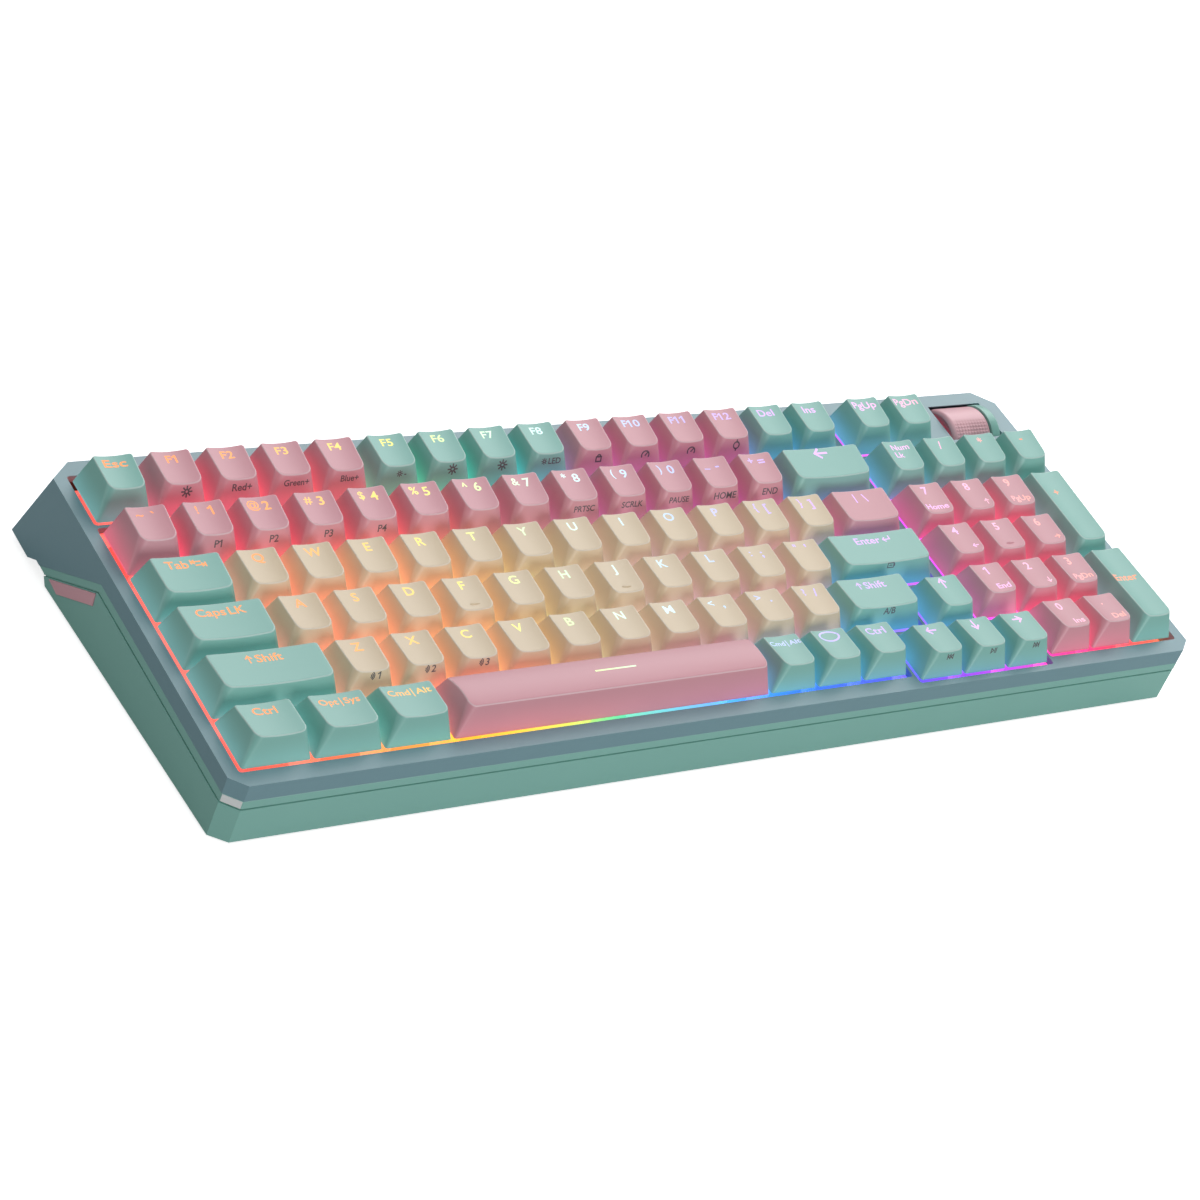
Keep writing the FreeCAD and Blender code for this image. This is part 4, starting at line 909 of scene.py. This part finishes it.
class Lettering:
    """Flat letters and marks in unit height, kept so that each is made once."""

    def __init__(self) -> None:
        """Measures the height of the font's capitals."""
        self.kept: dict[str, tuple[Array, Faces, float]] = {}
        self.capital = 1.0
        points, _, _ = self.text("H")
        self.capital = float(points[:, 1].max())
        self.kept.clear()

    def text(self, words: str) -> tuple[Array, Faces, float]:
        """Letters with their capitals one unit high, every digit one with a flag.

        Args:
            words: What to write.

        Returns:
            Points with z from -0.5 to 0.5, faces and the total width.
        """
        flagged = words + " with flags"
        if "1" in words and flagged not in self.kept:
            points, faces, _ = self._plain(words)
            shell = Shell()
            shell.add(points, faces)
            bar = self._plain("1")[2]
            for place in (index for index, says in enumerate(words) if says == "1"):
                right = self._plain(words[:place + 1])[2]
                flag = [(right - bar * 0.5, 0.94), (right - bar - 0.2, 0.74)]
                shell.add(*stroke(np.array(flag), bar * 0.9))
            joined = np.concatenate(shell.points)
            joined[:, 0] -= joined[:, 0].min()
            self.kept[flagged] = joined, shell.faces, float(joined[:, 0].max())
        return self.kept[flagged] if flagged in self.kept else self._plain(words)

    def _plain(self, words: str) -> tuple[Array, Faces, float]:
        """Letters as the font draws them, in the form that text() returns."""
        if words not in self.kept:
            curve = bpy.data.curves.new("lettering", "FONT")
            curve.body, curve.extrude, curve.resolution_u, curve.offset = words, 0.5, 3, 0.014
            holder = linked("lettering", curve)
            mesh = bpy.data.meshes.new_from_object(holder)
            flat = np.zeros(len(mesh.vertices) * 3, np.float32)
            mesh.vertices.foreach_get("co", flat)
            points = flat.reshape(-1, 3).astype(float)
            points[:, 0] -= points[:, 0].min()
            points[:, :2] /= self.capital
            faces = [list(polygon.vertices) for polygon in mesh.polygons]
            bpy.data.objects.remove(holder)
            bpy.data.curves.remove(curve)
            bpy.data.meshes.remove(mesh)
            self.kept[words] = points, faces, float(points[:, 0].max())
        return self.kept[words]

    def mark(self, mark: Mark) -> tuple[Array, Faces, float]:
        """A mark's strokes in unit height, in the form that text() returns."""
        if mark.name not in self.kept:
            shell = Shell()
            for path in mark.value.paths:
                shell.add(*stroke(path, MARK_STROKE))
            self.kept[mark.name] = np.concatenate(shell.points), shell.faces, mark.value.width
        return self.kept[mark.name]


@dataclass(frozen=True)
class Word:
    """One word or mark of a legend: what it says, its middle across, its foot and its height, in mm."""

    says: str | Mark
    x: float
    y: float
    height: float
    squeeze: float = 1.0


class LegendMaker:
    """Lays words on a cap's top or front face."""

    rise = 0.02
    root = 0.05

    def __init__(self) -> None:
        """Starts the lettering."""
        self.lettering = Lettering()

    def _flat(self, word: Word) -> tuple[Array, Faces]:
        """Points and faces of a word on its flat, x across and y up, centred on its place."""
        if isinstance(word.says, Mark):
            points, faces, wide = self.lettering.mark(word.says)
        else:
            points, faces, wide = self.lettering.text(word.says)
        laid = points.copy()
        laid[:, 0] = word.x + (points[:, 0] - wide / 2) * word.height * word.squeeze
        laid[:, 1] = word.y + points[:, 1] * word.height
        return laid, faces

    def on_top(self, shell: Shell, cap: CapSize, centre: Array, word: Word, finish: int = 0) -> None:
        """Adds a word to a shell, bent to the cap's top and standing a hair above it."""
        points, faces = self._flat(word)
        lift = np.where(points[:, 2] > 0, self.rise, -self.root)
        points[:, 2] = cap.top_height(points[:, 0], points[:, 1]) + lift
        shell.add(points + centre, faces, finish)

    def on_front(self, shell: Shell, cap: CapSize, centre: Array, word: Word, finish: int = 1) -> None:
        """Adds a word to a shell, laid on the cap's sloping front face."""
        points, faces = self._flat(word)
        foot, up, out = cap.front_frame()
        lift = np.where(points[:, 2] > 0, self.rise, -self.root)
        across = np.array([1.0, 0.0, 0.0])
        laid = foot + points[:, :1] * across + points[:, 1:2] * up + lift[:, None] * out
        shell.add(laid + centre, faces, finish)


# ---- keys ---------------------------------------------------------------------------------------
TINTS = {"teal": Finish.KEY_TEAL, "pink": Finish.KEY_PINK, "beige": Finish.KEY_BEIGE}


@dataclass(frozen=True)
class Key:
    """One key: its node, cell, row, colour, and what stands on its top and its front."""

    node: str
    left: float
    front: float
    width: float
    depth: float
    row: int
    tint: str
    label: str

    @property
    def centre(self) -> Array:
        """Middle of its cell."""
        half_width, half_depth = self.width * KEY_PITCH / 2, self.depth * KEY_PITCH / 2
        return np.array([self.left + half_width, self.front + half_depth, 0.0])

    def cap(self) -> CapSize:
        """Sizes of its cap, a tall one taking its back from the row behind."""
        near, far = ROW_PROFILES[self.row], ROW_PROFILES[self.row]
        if self.depth > 1.0:
            far = ROW_PROFILES[self.row - 1]
            near = ROW_PROFILES[5] if self.row == 4 else near
        return CapSize(self.width, self.depth, *near[:2], *far[2:], crowned=self.node == "key_space")

    def stabilisers(self) -> list[tuple[float, float]]:
        """Places of its two stabilisers from its middle, on a long key."""
        longest = max(self.width, self.depth)
        if longest < 2.0:
            return []
        reach = 50.0 if longest > 6.0 else 11.94
        return [(0.0, -reach), (0.0, reach)] if self.depth > self.width else [(-reach, 0.0), (reach, 0.0)]


LETTER_ROWS = [
    [("key_escape", "teal", 1, ["Esc"]),
     ("keys_f1_f4", "pink", 1, ["F1", "F2", "F3", "F4"]),
     ("keys_f5_f8", "teal", 1, ["F5", "F6", "F7", "F8"]),
     ("keys_f9_f12", "pink", 1, ["F9", "F10", "F11", "F12"]),
     ("keys_editing", "teal", 1, ["Del", "Ins"])],
    [("keys_numbers", "pink", 1,
      ["~ `", "! 1", "@ 2", "# 3", "$ 4", "% 5", "^ 6", "& 7", "* 8", "( 9", ") 0", "_ -", "+ ="]),
     ("key_backspace", "teal", 2, ["LEFT"])],
    [("key_tab", "teal", 1.5, ["Tab TAB"]),
     ("keys_upper_letters", "beige", 1, [*"QWERTYUIOP", "{ [", "} ]"]),
     ("key_backslash", "pink", 1.5, ["| \\"])],
    [("key_caps_lock", "teal", 1.75, ["Caps LK"]),
     ("keys_home_letters", "beige", 1, [*"ASDFGHJKL", ": ;", '" \'']),
     ("key_enter", "teal", 2.25, ["Enter RETURN"])],
    [("key_left_shift", "teal", 2.25, ["UP Shift"]),
     ("keys_lower_letters", "beige", 1, [*"ZXCVBNM", "< ,", "> .", "? /"]),
     ("key_right_shift", "teal", 1.75, ["UP Shift"])],
    [("key_left_control", "teal", 1.25, ["Ctrl"]),
     ("key_system", "teal", 1.25, ["Opt DIVIDE Sys"]),
     ("key_left_alt", "teal", 1.25, ["Cmd DIVIDE Alt"]),
     ("key_space", "pink", 6.25, ["BAR"]),
     ("key_right_alt", "teal", 1, ["Cmd DIVIDE Alt"]),
     ("key_function", "teal", 1, ["OVAL"]),
     ("key_right_control", "teal", 1, ["Ctrl"])],
]
KEYPAD_ROWS = [
    (0, 0, "keys_editing", "teal", ["PgUp", "PgDn"]),
    (1, 0, "keys_keypad_operators", "teal", ["Num/Lk", "/", "*", "-"]),
    (2, 0, "keys_keypad_789", "pink", ["7|Home", "8|UP", "9|PgUp"]),
    (3, 0, "keys_keypad_456", "pink", ["4|LEFT", "5|", "6|RIGHT"]),
    (4, 0, "keys_keypad_123_0", "pink", ["1|End", "2|DOWN", "3|PgDn"]),
    (5, 1, "keys_keypad_123_0", "pink", ["0|Ins", ".|Del"]),
]
FRONT_LABELS = {
    "F1": "SUN", "F2": "Red+", "F3": "Green+", "F4": "Blue+", "F5": "SUN -", "F6": "SUN", "F7": "SUN",
    "F8": "SUN LED", "F9": "LOCK", "F10": "GAUGE", "F11": "GAUGE", "F12": "RING",
    "! 1": "P1", "@ 2": "P2", "# 3": "P3", "$ 4": "P4",
    "* 8": "PRTSC", "( 9": "SCRLK", ") 0": "PAUSE", "_ -": "HOME", "+ =": "END",
    "Z": "WAVE 1", "X": "WAVE 2", "C": "WAVE 3", "Enter RETURN": "CELL",
}
ARROW_FRONTS = {
    "key_arrow_left": "BACKWARD", "key_arrow_down": "PLAY", "key_arrow_right": "FORWARD",
    "key_right_shift": "A/B",
}
HOMING = ("F", "J", "5|")


def row_front(row: int) -> float:
    """Front edge of a row's cells, rows counted from the back."""
    return FUNCTION_ROW_FRONT if row == 0 else (5 - row) * KEY_PITCH


def all_keys() -> list[Key]:
    """Every key, in the order of its rows."""
    keys = []
    for row, runs in enumerate(LETTER_ROWS):
        left = 0.0
        for node, tint, width, labels in runs:
            for label in labels:
                keys.append(Key(node, left, row_front(row), width, 1.0, row, tint, label))
                left += width * KEY_PITCH
    for row, skip, node, tint, labels in KEYPAD_ROWS:
        for step, label in enumerate(labels):
            left = KEYPAD_START + (skip + step) * KEY_PITCH
            keys.append(Key(node, left, row_front(row), 1.0, 1.0, row, tint, label))
    arrows = 13 * KEY_PITCH + CLUSTER_GAP
    for step, name in enumerate(("left", "down", "right")):
        left = arrows + step * KEY_PITCH
        keys.append(Key("key_arrow_" + name, left, -CLUSTER_GAP, 1.0, 1.0, 5, "teal", name.upper()))
    keys.append(Key("key_arrow_up", arrows + KEY_PITCH, KEY_PITCH - CLUSTER_GAP, 1.0, 1.0, 4, "teal", "UP"))
    last = KEYPAD_START + 3 * KEY_PITCH
    keys.append(Key("key_keypad_plus", last, row_front(3), 1.0, 2.0, 3, "teal", "+"))
    keys.append(Key("key_keypad_enter", last, row_front(5), 1.0, 2.0, 4, "teal", "Enter"))
    return keys


class KeyField:
    """All the keys: caps, sliders, lit legends and front prints, each set riding with its own CAD body."""

    letter_height = 3.3
    word_height = 2.9
    mark_height = 4.2
    small_height = 2.3
    front_height = 2.3
    front_mark_height = 3.3

    def __init__(self) -> None:
        """Gathers the keys by node."""
        self.legends = LegendMaker()
        self.groups: dict[str, list[Key]] = {}
        for key in all_keys():
            self.groups.setdefault(key.node, []).append(key)
        self.kept: dict[tuple, tuple[Array, Faces, Array]] = {}

    def build(self) -> None:
        """Builds every node's pieces."""
        for node, keys in self.groups.items():
            finish = TINTS[keys[0].tint]
            caps, sliders, legends = Shell(), Shell(), Shell()
            for key in keys:
                self._cap(caps, key)
                self._sliders(sliders, key)
                self._top_words(legends, key)
                self._front_words(legends, key)
            cap = caps.piece("caps_" + node, [finish.made], sharp=50)
            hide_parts(node)
            slider = sliders.piece("sliders_" + node, [Finish.WHITE.made], sharp=40)
            legend = legends.piece("legends_" + node, [Finish.LEGEND.made, Finish.PRINT.made], sharp=30)
            for made in (cap, slider, legend):
                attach(made, frame["nodes"][node]["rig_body"])

    def _cap(self, shell: Shell, key: Key) -> None:
        """Adds a key's cap with its posts, and a homing bump where fingers rest."""
        size = key.cap()
        kind = (key.width, key.depth, key.row, size.crowned)
        if kind not in self.kept:
            self.kept[kind] = size.shell()
        points, faces, polish = self.kept[kind]
        shell.add(points + key.centre, faces, polish=polish)
        top = min(size.front_height, size.back_height) - size.roof / 2 - size.dish
        for x, y in [(0.0, 0.0), *key.stabilisers()]:
            post, post_faces = tube(2.12, 2.75, HOUSING_TOP + 0.1, top)
            shell.add(post + key.centre + (x, y, 0.0), post_faces)
        if key.label in HOMING:
            self._bump(shell, key, size)

    @staticmethod
    def _bump(shell: Shell, key: Key, size: CapSize) -> None:
        """Adds a low rounded bar near the front of the dish: half an ellipsoid on a grid of two angles."""
        around, rings = 20, 5
        turn = np.linspace(0, 2 * math.pi, around, endpoint=False)
        rise = np.linspace(0.0, 0.92 * math.pi / 2, rings)[:, None]
        x = (1.9 * np.cos(rise) * np.cos(turn)).ravel()
        y = (0.45 * np.cos(rise) * np.sin(turn)).ravel() + size.front + 2.2
        lift = (0.4 * np.sin(rise) * np.ones(around)).ravel() - 0.05
        points = np.column_stack([x, y, size.top_height(x, y) + lift])
        poles = np.array([[0.0, size.front + 2.2, 0.0]] * 2)
        poles[:, 2] = size.top_height(poles[:, 0], poles[:, 1]) + (-0.1, 0.35)
        shell.add(np.concatenate([points, poles]) + key.centre, poled_faces(rings, around))

    def _sliders(self, shell: Shell, key: Key) -> None:
        """Adds the cross-stemmed sliders under a cap."""
        cross = cross_outline(4.0, 1.2)
        turn = np.linspace(0, 2 * math.pi, 12, endpoint=False)
        for number, (x, y) in enumerate([(0.0, 0.0), *key.stabilisers()]):
            at = key.centre + (x, y, 0.0)
            body = rectangle(6.8, 5.4) if number == 0 else rectangle(5.4, 5.4)
            depth = 2.8 if number == 0 else 3.6
            parts = [prism(body, HOUSING_TOP - depth, HOUSING_TOP),
                     prism(cross, HOUSING_TOP, HOUSING_TOP + STEM_RISE)]
            if number == 0:
                pin = np.column_stack([np.cos(turn), np.sin(turn)])
                parts.append(prism(pin, -5.8, HOUSING_TOP - depth))
            for points, faces in parts:
                shell.add(points + at, faces)

    def _line(self, words: str, x: float, y: float, height: float, align: float = 0.5,
              spread: float = 1.2) -> list[Word]:
        """Words and marks set side by side.

        Args:
            words: Words and mark names, with spaces between.
            x: Where the line is anchored.
            y: Its foot.
            height: Height of its capitals.
            align: Share of the line's width that lies left of the anchor.
            spread: How much wider than the font's own its words are.
        """
        parts: list[tuple[str | Mark, float, float]] = []
        for says in words.split():
            mark = Mark.__members__.get(says)
            font = self.legends.lettering
            wide = font.mark(mark)[2] if mark else font.text(says)[2]
            squeeze = 1.0 if mark else spread if len(says) > 1 else 1.0 + (spread - 1.0) / 2
            parts.append((mark or says, wide * height * squeeze, squeeze))
        gap = 0.35 * height
        left = x - align * (sum(wide for _, wide, _ in parts) + gap * (len(parts) - 1))
        placed = []
        for says, wide, squeeze in parts:
            placed.append(Word(says, left + wide / 2, y, height, squeeze))
            left += wide + gap
        return placed

    def _top_words(self, shell: Shell, key: Key) -> None:
        """Adds the lit legend of a key's top."""
        size, label = key.cap(), key.label
        foot = size.back - 1.6 - self.letter_height
        words: list[Word] = []
        if key.node == "key_space":
            words = [Word(Mark.BAR, 0.5, (size.front + size.back) / 2 - 1.6, 4.0, 0.62)]
        elif key.depth > 1.0:
            rise = 5.0 if label == "+" else 1.0
            words = self._line(label, -1.0, (size.back + size.front) / 2 + rise, self.word_height)
        elif "|" in label and len(label) > 3 or label in HOMING and "|" in label:
            main, second = label.split("|")
            words = self._line(main, -0.6, foot + 0.3, self.letter_height)
            words += self._line(second, 4.6, size.front + 1.6, self.small_height, 1.0) if second else []
        elif "/" in label and len(label) > 3:
            first, second = label.split("/")
            words = self._line(first, -3.4, foot + 1.0, self.small_height, 0.0)
            words += self._line(second, -3.4, foot - 2.3, self.small_height, 0.0)
        elif len(label) == 3 and label[1] == " ":
            words = self._line(label[0], -2.6, foot + 0.5, self.word_height)
            words += self._line(label[2], 1.8, foot - 0.2, self.letter_height)
        elif "DIVIDE" in label:
            words = self._line(label, 0.0, foot + 0.5, self.small_height if key.width > 1 else 1.9)
        elif label in Mark.__members__:
            words = self._line(label, -0.3, foot - 0.2, self.mark_height * (1.35 if key.width > 1 else 1.0))
        elif len(label) == 1:
            words = self._line(label, -0.3, foot, self.letter_height)
        else:
            spread = 1.5 if key.node == "key_escape" else 1.2
            x = -0.6 if key.width > 1 else -0.3
            words = self._line(label, x, foot + 0.3, self.word_height, spread=spread)
        for word in words:
            self.legends.on_top(shell, size, key.centre, word)

    def _front_words(self, shell: Shell, key: Key) -> None:
        """Adds the dark print of a key's front face."""
        label = ARROW_FRONTS.get(key.node) or FRONT_LABELS.get(key.label)
        if not label or key.width > 1 and key.node not in ("key_enter", "key_right_shift"):
            return
        size = key.cap()
        height = self.front_height if len(label) < 5 or label[0] == "W" else 2.0
        if label in Mark.__members__:
            height = self.front_height if key.node in ("key_enter", *ARROW_FRONTS) else self.front_mark_height
        foot = 7.7 - height / 2
        for word in self._line(label, 0.8, foot, height, spread=1.0):
            self.legends.on_front(shell, size, key.centre, word)


# ---- dial ---------------------------------------------------------------------------------------
@dataclass(frozen=True)
class RollerDial:
    """Knurled roller beside its fixed cheek."""

    radius: float = 11.0
    rim: float = 1.5
    right_rim: float = 0.7
    cells_across: int = 11
    cells_around: int = 56
    depth: float = 0.26

    def build(self) -> None:
        """Builds the roller in place of its CAD solid."""
        shell = Shell()
        points, faces = self._drum()
        shell.add(points, faces)
        drum = shell.piece("dial_roller", [Finish.ACCENT.made], sharp=75)
        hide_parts("dial_drum")
        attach(drum, frame["nodes"]["dial_drum"]["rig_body"])

    def _drum(self) -> tuple[Array, Faces]:
        """Roller's surface: a profile carried round the axis, cut with square knurling.

        The profile runs from the bore up the dished left end, over the rounded rims and across the face to
        the right end. On the face the radius drops by the knurl's depth times a steep-sided wave along and
        around the roller, which fades towards both rims and over two smooth arcs.
        """
        box = SPACE.keyed("dial_drum")
        low, high = box.min(0), box.max(0)
        axis_y, axis_z = (low[1] + high[1]) / 2, (low[2] + high[2]) / 2
        across = high[0] - low[0]
        around = self.cells_around * 6
        turn = np.linspace(0, 2 * math.pi, around, endpoint=False)
        face = np.linspace(self.rim, across - 1.0, self.cells_across * 6 + 1)
        curve = np.radians(np.linspace(0, 90, 6))
        left = np.column_stack([self.rim * (1 - np.cos(curve)), self.radius - self.rim * (1 - np.sin(curve))])
        right = np.column_stack([
            across - self.right_rim + self.right_rim * np.sin(curve),
            self.radius - self.right_rim * (1 - np.cos(curve))])
        ends = [(1.6, 1.5), (0.8, 1.9), (0.8, 6.0), (0.75, 8.2), (0.3, 9.2), (0.05, 9.4)]
        profile = np.concatenate([
            np.array(ends), left[:-1], np.column_stack([face, np.full(len(face), self.radius)]), right,
            np.array([(across, 8.0), (across, 1.9), (across - 0.8, 1.5)]),
        ])
        x, radius = profile[:, :1], np.repeat(profile[:, 1:], around, axis=1)
        cell = (x - self.rim) / (across - 1.0 - self.rim) * self.cells_across * 2 * math.pi
        inside = np.clip((x - self.rim) / 0.5, 0, 1) * np.clip((across - 0.9 - x) / 0.3, 0, 1)
        inside = inside * (profile[:, 1:] > self.radius - 0.01)
        wave = np.maximum(np.cos(cell), np.cos(turn * self.cells_around)[None, :])
        groove = np.clip((wave - 0.25) / 0.6, 0, 1)
        smooth = np.clip((np.cos(2 * (turn - math.radians(72.0))) - 0.15) / 0.5, 0, 1)[None, :]
        radius = radius - self.depth * groove * inside * (1 - smooth)
        points = np.stack([
            np.repeat(x + low[0], around, axis=1), axis_y + radius * np.cos(turn)[None, :],
            axis_z + radius * np.sin(turn)[None, :]], -1).reshape(-1, 3)
        return points, ring_faces(len(profile), around, closed=True)[:, ::-1]


# ---- case ---------------------------------------------------------------------------------------
@dataclass(frozen=True)
class Rounded:
    """A CAD node copied, merged and given rounded edges."""

    node: str
    finish: Finish
    width: float
    segments: int = 2

    def build(self) -> None:
        """Builds the piece in place of its node: doubles merged, flat faces joined, edges bevelled."""
        name = "rounded_" + self.node
        source = frame["nodes"][self.node]
        work = bmesh.new()
        work.from_mesh(source.data)
        bmesh.ops.remove_doubles(work, verts=work.verts, dist=2e-6)
        bmesh.ops.dissolve_limit(work, angle_limit=math.radians(0.6), verts=work.verts, edges=work.edges)
        mesh = bpy.data.meshes.new(name)
        work.to_mesh(mesh)
        work.free()
        if "custom_normal" in mesh.attributes:
            mesh.attributes.remove(mesh.attributes["custom_normal"])
        mesh.materials.append(self.finish.made)
        mesh.shade_smooth()
        made = linked(name, mesh)
        bevel = made.modifiers.new("rounded_edges", "BEVEL")
        bevel.limit_method, bevel.angle_limit = "ANGLE", math.radians(28)
        bevel.width, bevel.segments = self.width * MM, self.segments
        bevel.use_clamp_overlap, bevel.harden_normals = True, True
        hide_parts(self.node)
        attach(made, source["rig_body"])
        LOG.info("%s: %d faces before rounding", name, len(mesh.polygons))


class Case:
    """Case pieces with rounded edges, and near-white plates on its front corners that paint a highlight
    there.
    """

    facet = (5.0, 4.2)
    band = (-7.85, -5.35)
    face_front = -6.25
    tip_inset = 0.25
    tip_root = 0.3
    tip_rise = 0.12
    rounded = (
        Rounded("top_cover", Finish.COVER, 0.35), Rounded("middle_frame", Finish.CASE, 0.2),
        Rounded("bottom_case", Finish.CASE, 0.3), Rounded("side_badge", Finish.ACCENT, 0.15),
        Rounded("dial_hood", Finish.CASE, 0.15), Rounded("flip_foot_left", Finish.CASE, 0.3),
        Rounded("flip_foot_right", Finish.CASE, 0.3), Rounded("rubber_feet", Finish.RUBBER, 0.2),
    )

    def build(self) -> None:
        """Builds every rounded piece, and the painted corner highlights."""
        for part in self.rounded:
            part.build()
        shell = Shell()
        for side in (-1, 1):
            shell.add(*self._tip(side))
        # The front corners' near-white plates are a painted highlight.
        glints = shell.piece("corner_tips", [Finish.TIP.made], sharp=30)
        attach(glints, frame["nodes"]["middle_frame"]["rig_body"])

    def _tip(self, side: int) -> tuple[Array, Faces]:
        """Thin near-white plate over the middle frame's band on one front corner's facet: a painted highlight
        in place of the reflection that the facet catches.

        Its outline is the facet between two heights; the front face stays square to the desk, so it moves
        forwards with the drop, and the plate's thickness runs along the facet's normal.
        """
        places = SPACE.keyed("middle_frame")[:, 0]
        edge = float(places.max()) if side > 0 else float(places.min())
        across, along = self.facet
        normal = unit(np.array([side * along, -across, 0.0]))
        corners = []
        for level in self.band:
            front = self.face_front - (FACE_HEIGHT - level) * math.tan(SPACE.tilt)
            near, far = np.array([edge - side * across, front, level]), np.array([edge, front + along, level])
            inwards = unit(far - near) * self.tip_inset
            corners += [near + inwards, far - inwards]
        flat = np.array([corners[0], corners[1], corners[3], corners[2]])
        points = np.concatenate([flat - normal * self.tip_root, flat + normal * self.tip_rise])
        sides = [[i, (i + 1) % 4, (i + 1) % 4 + 4, i + 4] for i in range(4)]
        return points, [[3, 2, 1, 0], [4, 5, 6, 7], *sides]


class Inside:
    """CAD nodes that keep their own shape and take a finish."""

    finishes = {
        "switch_plate": Finish.PLATE, "switch_housings": Finish.HOUSING, "light_chips": Finish.CHIP,
        "stabiliser_housings": Finish.HOUSING, "stabiliser_wires": Finish.STEEL,
        "switch_springs": Finish.STEEL, "circuit_board": Finish.BOARD, "socket_board": Finish.BOARD,
        "plate_gaskets": Finish.RUBBER, "battery": Finish.WRAP, "case_foam": Finish.FOAM,
        "usb_socket": Finish.STEEL, "mode_switch_housing": Finish.BLACK, "mode_switch_knob": Finish.WHITE,
        "case_screws": Finish.STEEL, "dial_shaft": Finish.STEEL, "dial_carriage": Finish.BLACK,
        "dial_encoder": Finish.BLACK,
    }

    def build(self) -> None:
        """Gives each node its finish."""
        for node, finish in self.finishes.items():
            mesh = frame["nodes"][node].data
            mesh.materials.clear()
            mesh.materials.append(finish.made)
            LOG.info("%s: finish %s", node, finish.value.name)


# ---- studio -------------------------------------------------------------------------------------
@dataclass(frozen=True)
class Studio:
    """Pale floor, soft lights and the camera."""

    lens: float = 102.70
    place: Place = (-0.66474, -0.62550, 0.61284)
    right: Place = (0.7944858, -0.5087700, 0.3315802)
    up: Place = (0.0923373, 0.6408631, 0.7620816)
    back: Place = (-0.6002217, -0.5748458, 0.5561351)
    floor_reach: float = 8.0

    def build(self) -> None:
        """Builds the floor, the lights and the camera."""
        self._floor()
        self._lights()
        self._camera()

    def _floor(self) -> None:
        """Lays a wide pale floor."""
        material, tree, shader = blank_material("pale_floor")
        place = tree.node("TexCoord").outputs["Object"]
        cloud = tree.node("TexNoise", {"Vector": place, "Scale": 3.0, "Detail": 2.0}).outputs["Fac"]
        pale = tree.mix(cloud, (0.93, 0.93, 0.93, 1), (0.95, 0.95, 0.95, 1))
        seen = tree.node("LightPath").outputs["Is Camera Ray"]
        tree.feed(shader, {
            "Base Color": tree.mix(seen, (0.42, 0.42, 0.42, 1), pale),
            "Emission Strength": tree.math("MULTIPLY", seen, 0.75), "Emission Color": (1.0, 1.0, 1.0, 1.0),
            "Roughness": 0.9, "Specular IOR Level": 0.1})
        mesh = bpy.data.meshes.new("floor")
        corners = rectangle(2 * self.floor_reach, 2 * self.floor_reach)
        mesh.from_pydata([(x, y, 0.0) for x, y in corners.tolist()], [], [(0, 1, 2, 3)])
        mesh.materials.append(material)
        linked("floor", mesh)

    def _lights(self) -> None:
        """Sets a white surrounding and soft panels."""
        world = bpy.data.worlds.new("studio")
        bpy.context.scene.world = world
        world.use_nodes = True
        background = world.node_tree.nodes["Background"]
        background.inputs[0].default_value = (1.0, 1.0, 1.0, 1.0)
        background.inputs[1].default_value = 0.27
        self._panel("back_softbox", (0.93, 0.86, 1.0), 1.25, 14.5)
        self._panel("front_softbox", (0.35, -1.7, 0.42), 1.0, 13.0)
        self._panel("overhead", (0.0, -0.3, 1.5), 1.1, 3.5)
        self._panel("left_fill", (-1.6, 0.1, 0.5), 0.9, 3.2)
        bpy.context.scene.view_settings.view_transform = "Standard"

    @staticmethod
    def _panel(name: str, place: Place, side: float, power: float) -> None:
        """Adds a square light that faces the object."""
        light = bpy.data.lights.new(name, "AREA")
        light.shape, light.size, light.energy = "SQUARE", side, power
        made = linked(name, light)
        made.location = place
        made.rotation_euler = (-Vector(place)).to_track_quat("-Z", "Y").to_euler()

    def _camera(self) -> None:
        """Sets the camera."""
        lens = bpy.data.cameras.new("camera")
        lens.lens, lens.sensor_width, lens.clip_start = self.lens, 36.0, 0.01
        made = linked("camera", lens)
        rows = np.column_stack([self.right, self.up, self.back, self.place])
        made.matrix_world = Matrix([*rows.tolist(), [0.0, 0.0, 0.0, 1.0]])
        bpy.context.scene.camera = made


def main() -> None:
    """Builds every part of the scene."""
    logging.basicConfig(level=logging.INFO, format="%(name)s %(message)s")
    for part in (Inside(), Case(), RollerDial(), KeyField(), Studio()):
        part.build()
        LOG.info("%s done", type(part).__name__)
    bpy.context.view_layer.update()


if __name__ == "__main__":
    main()
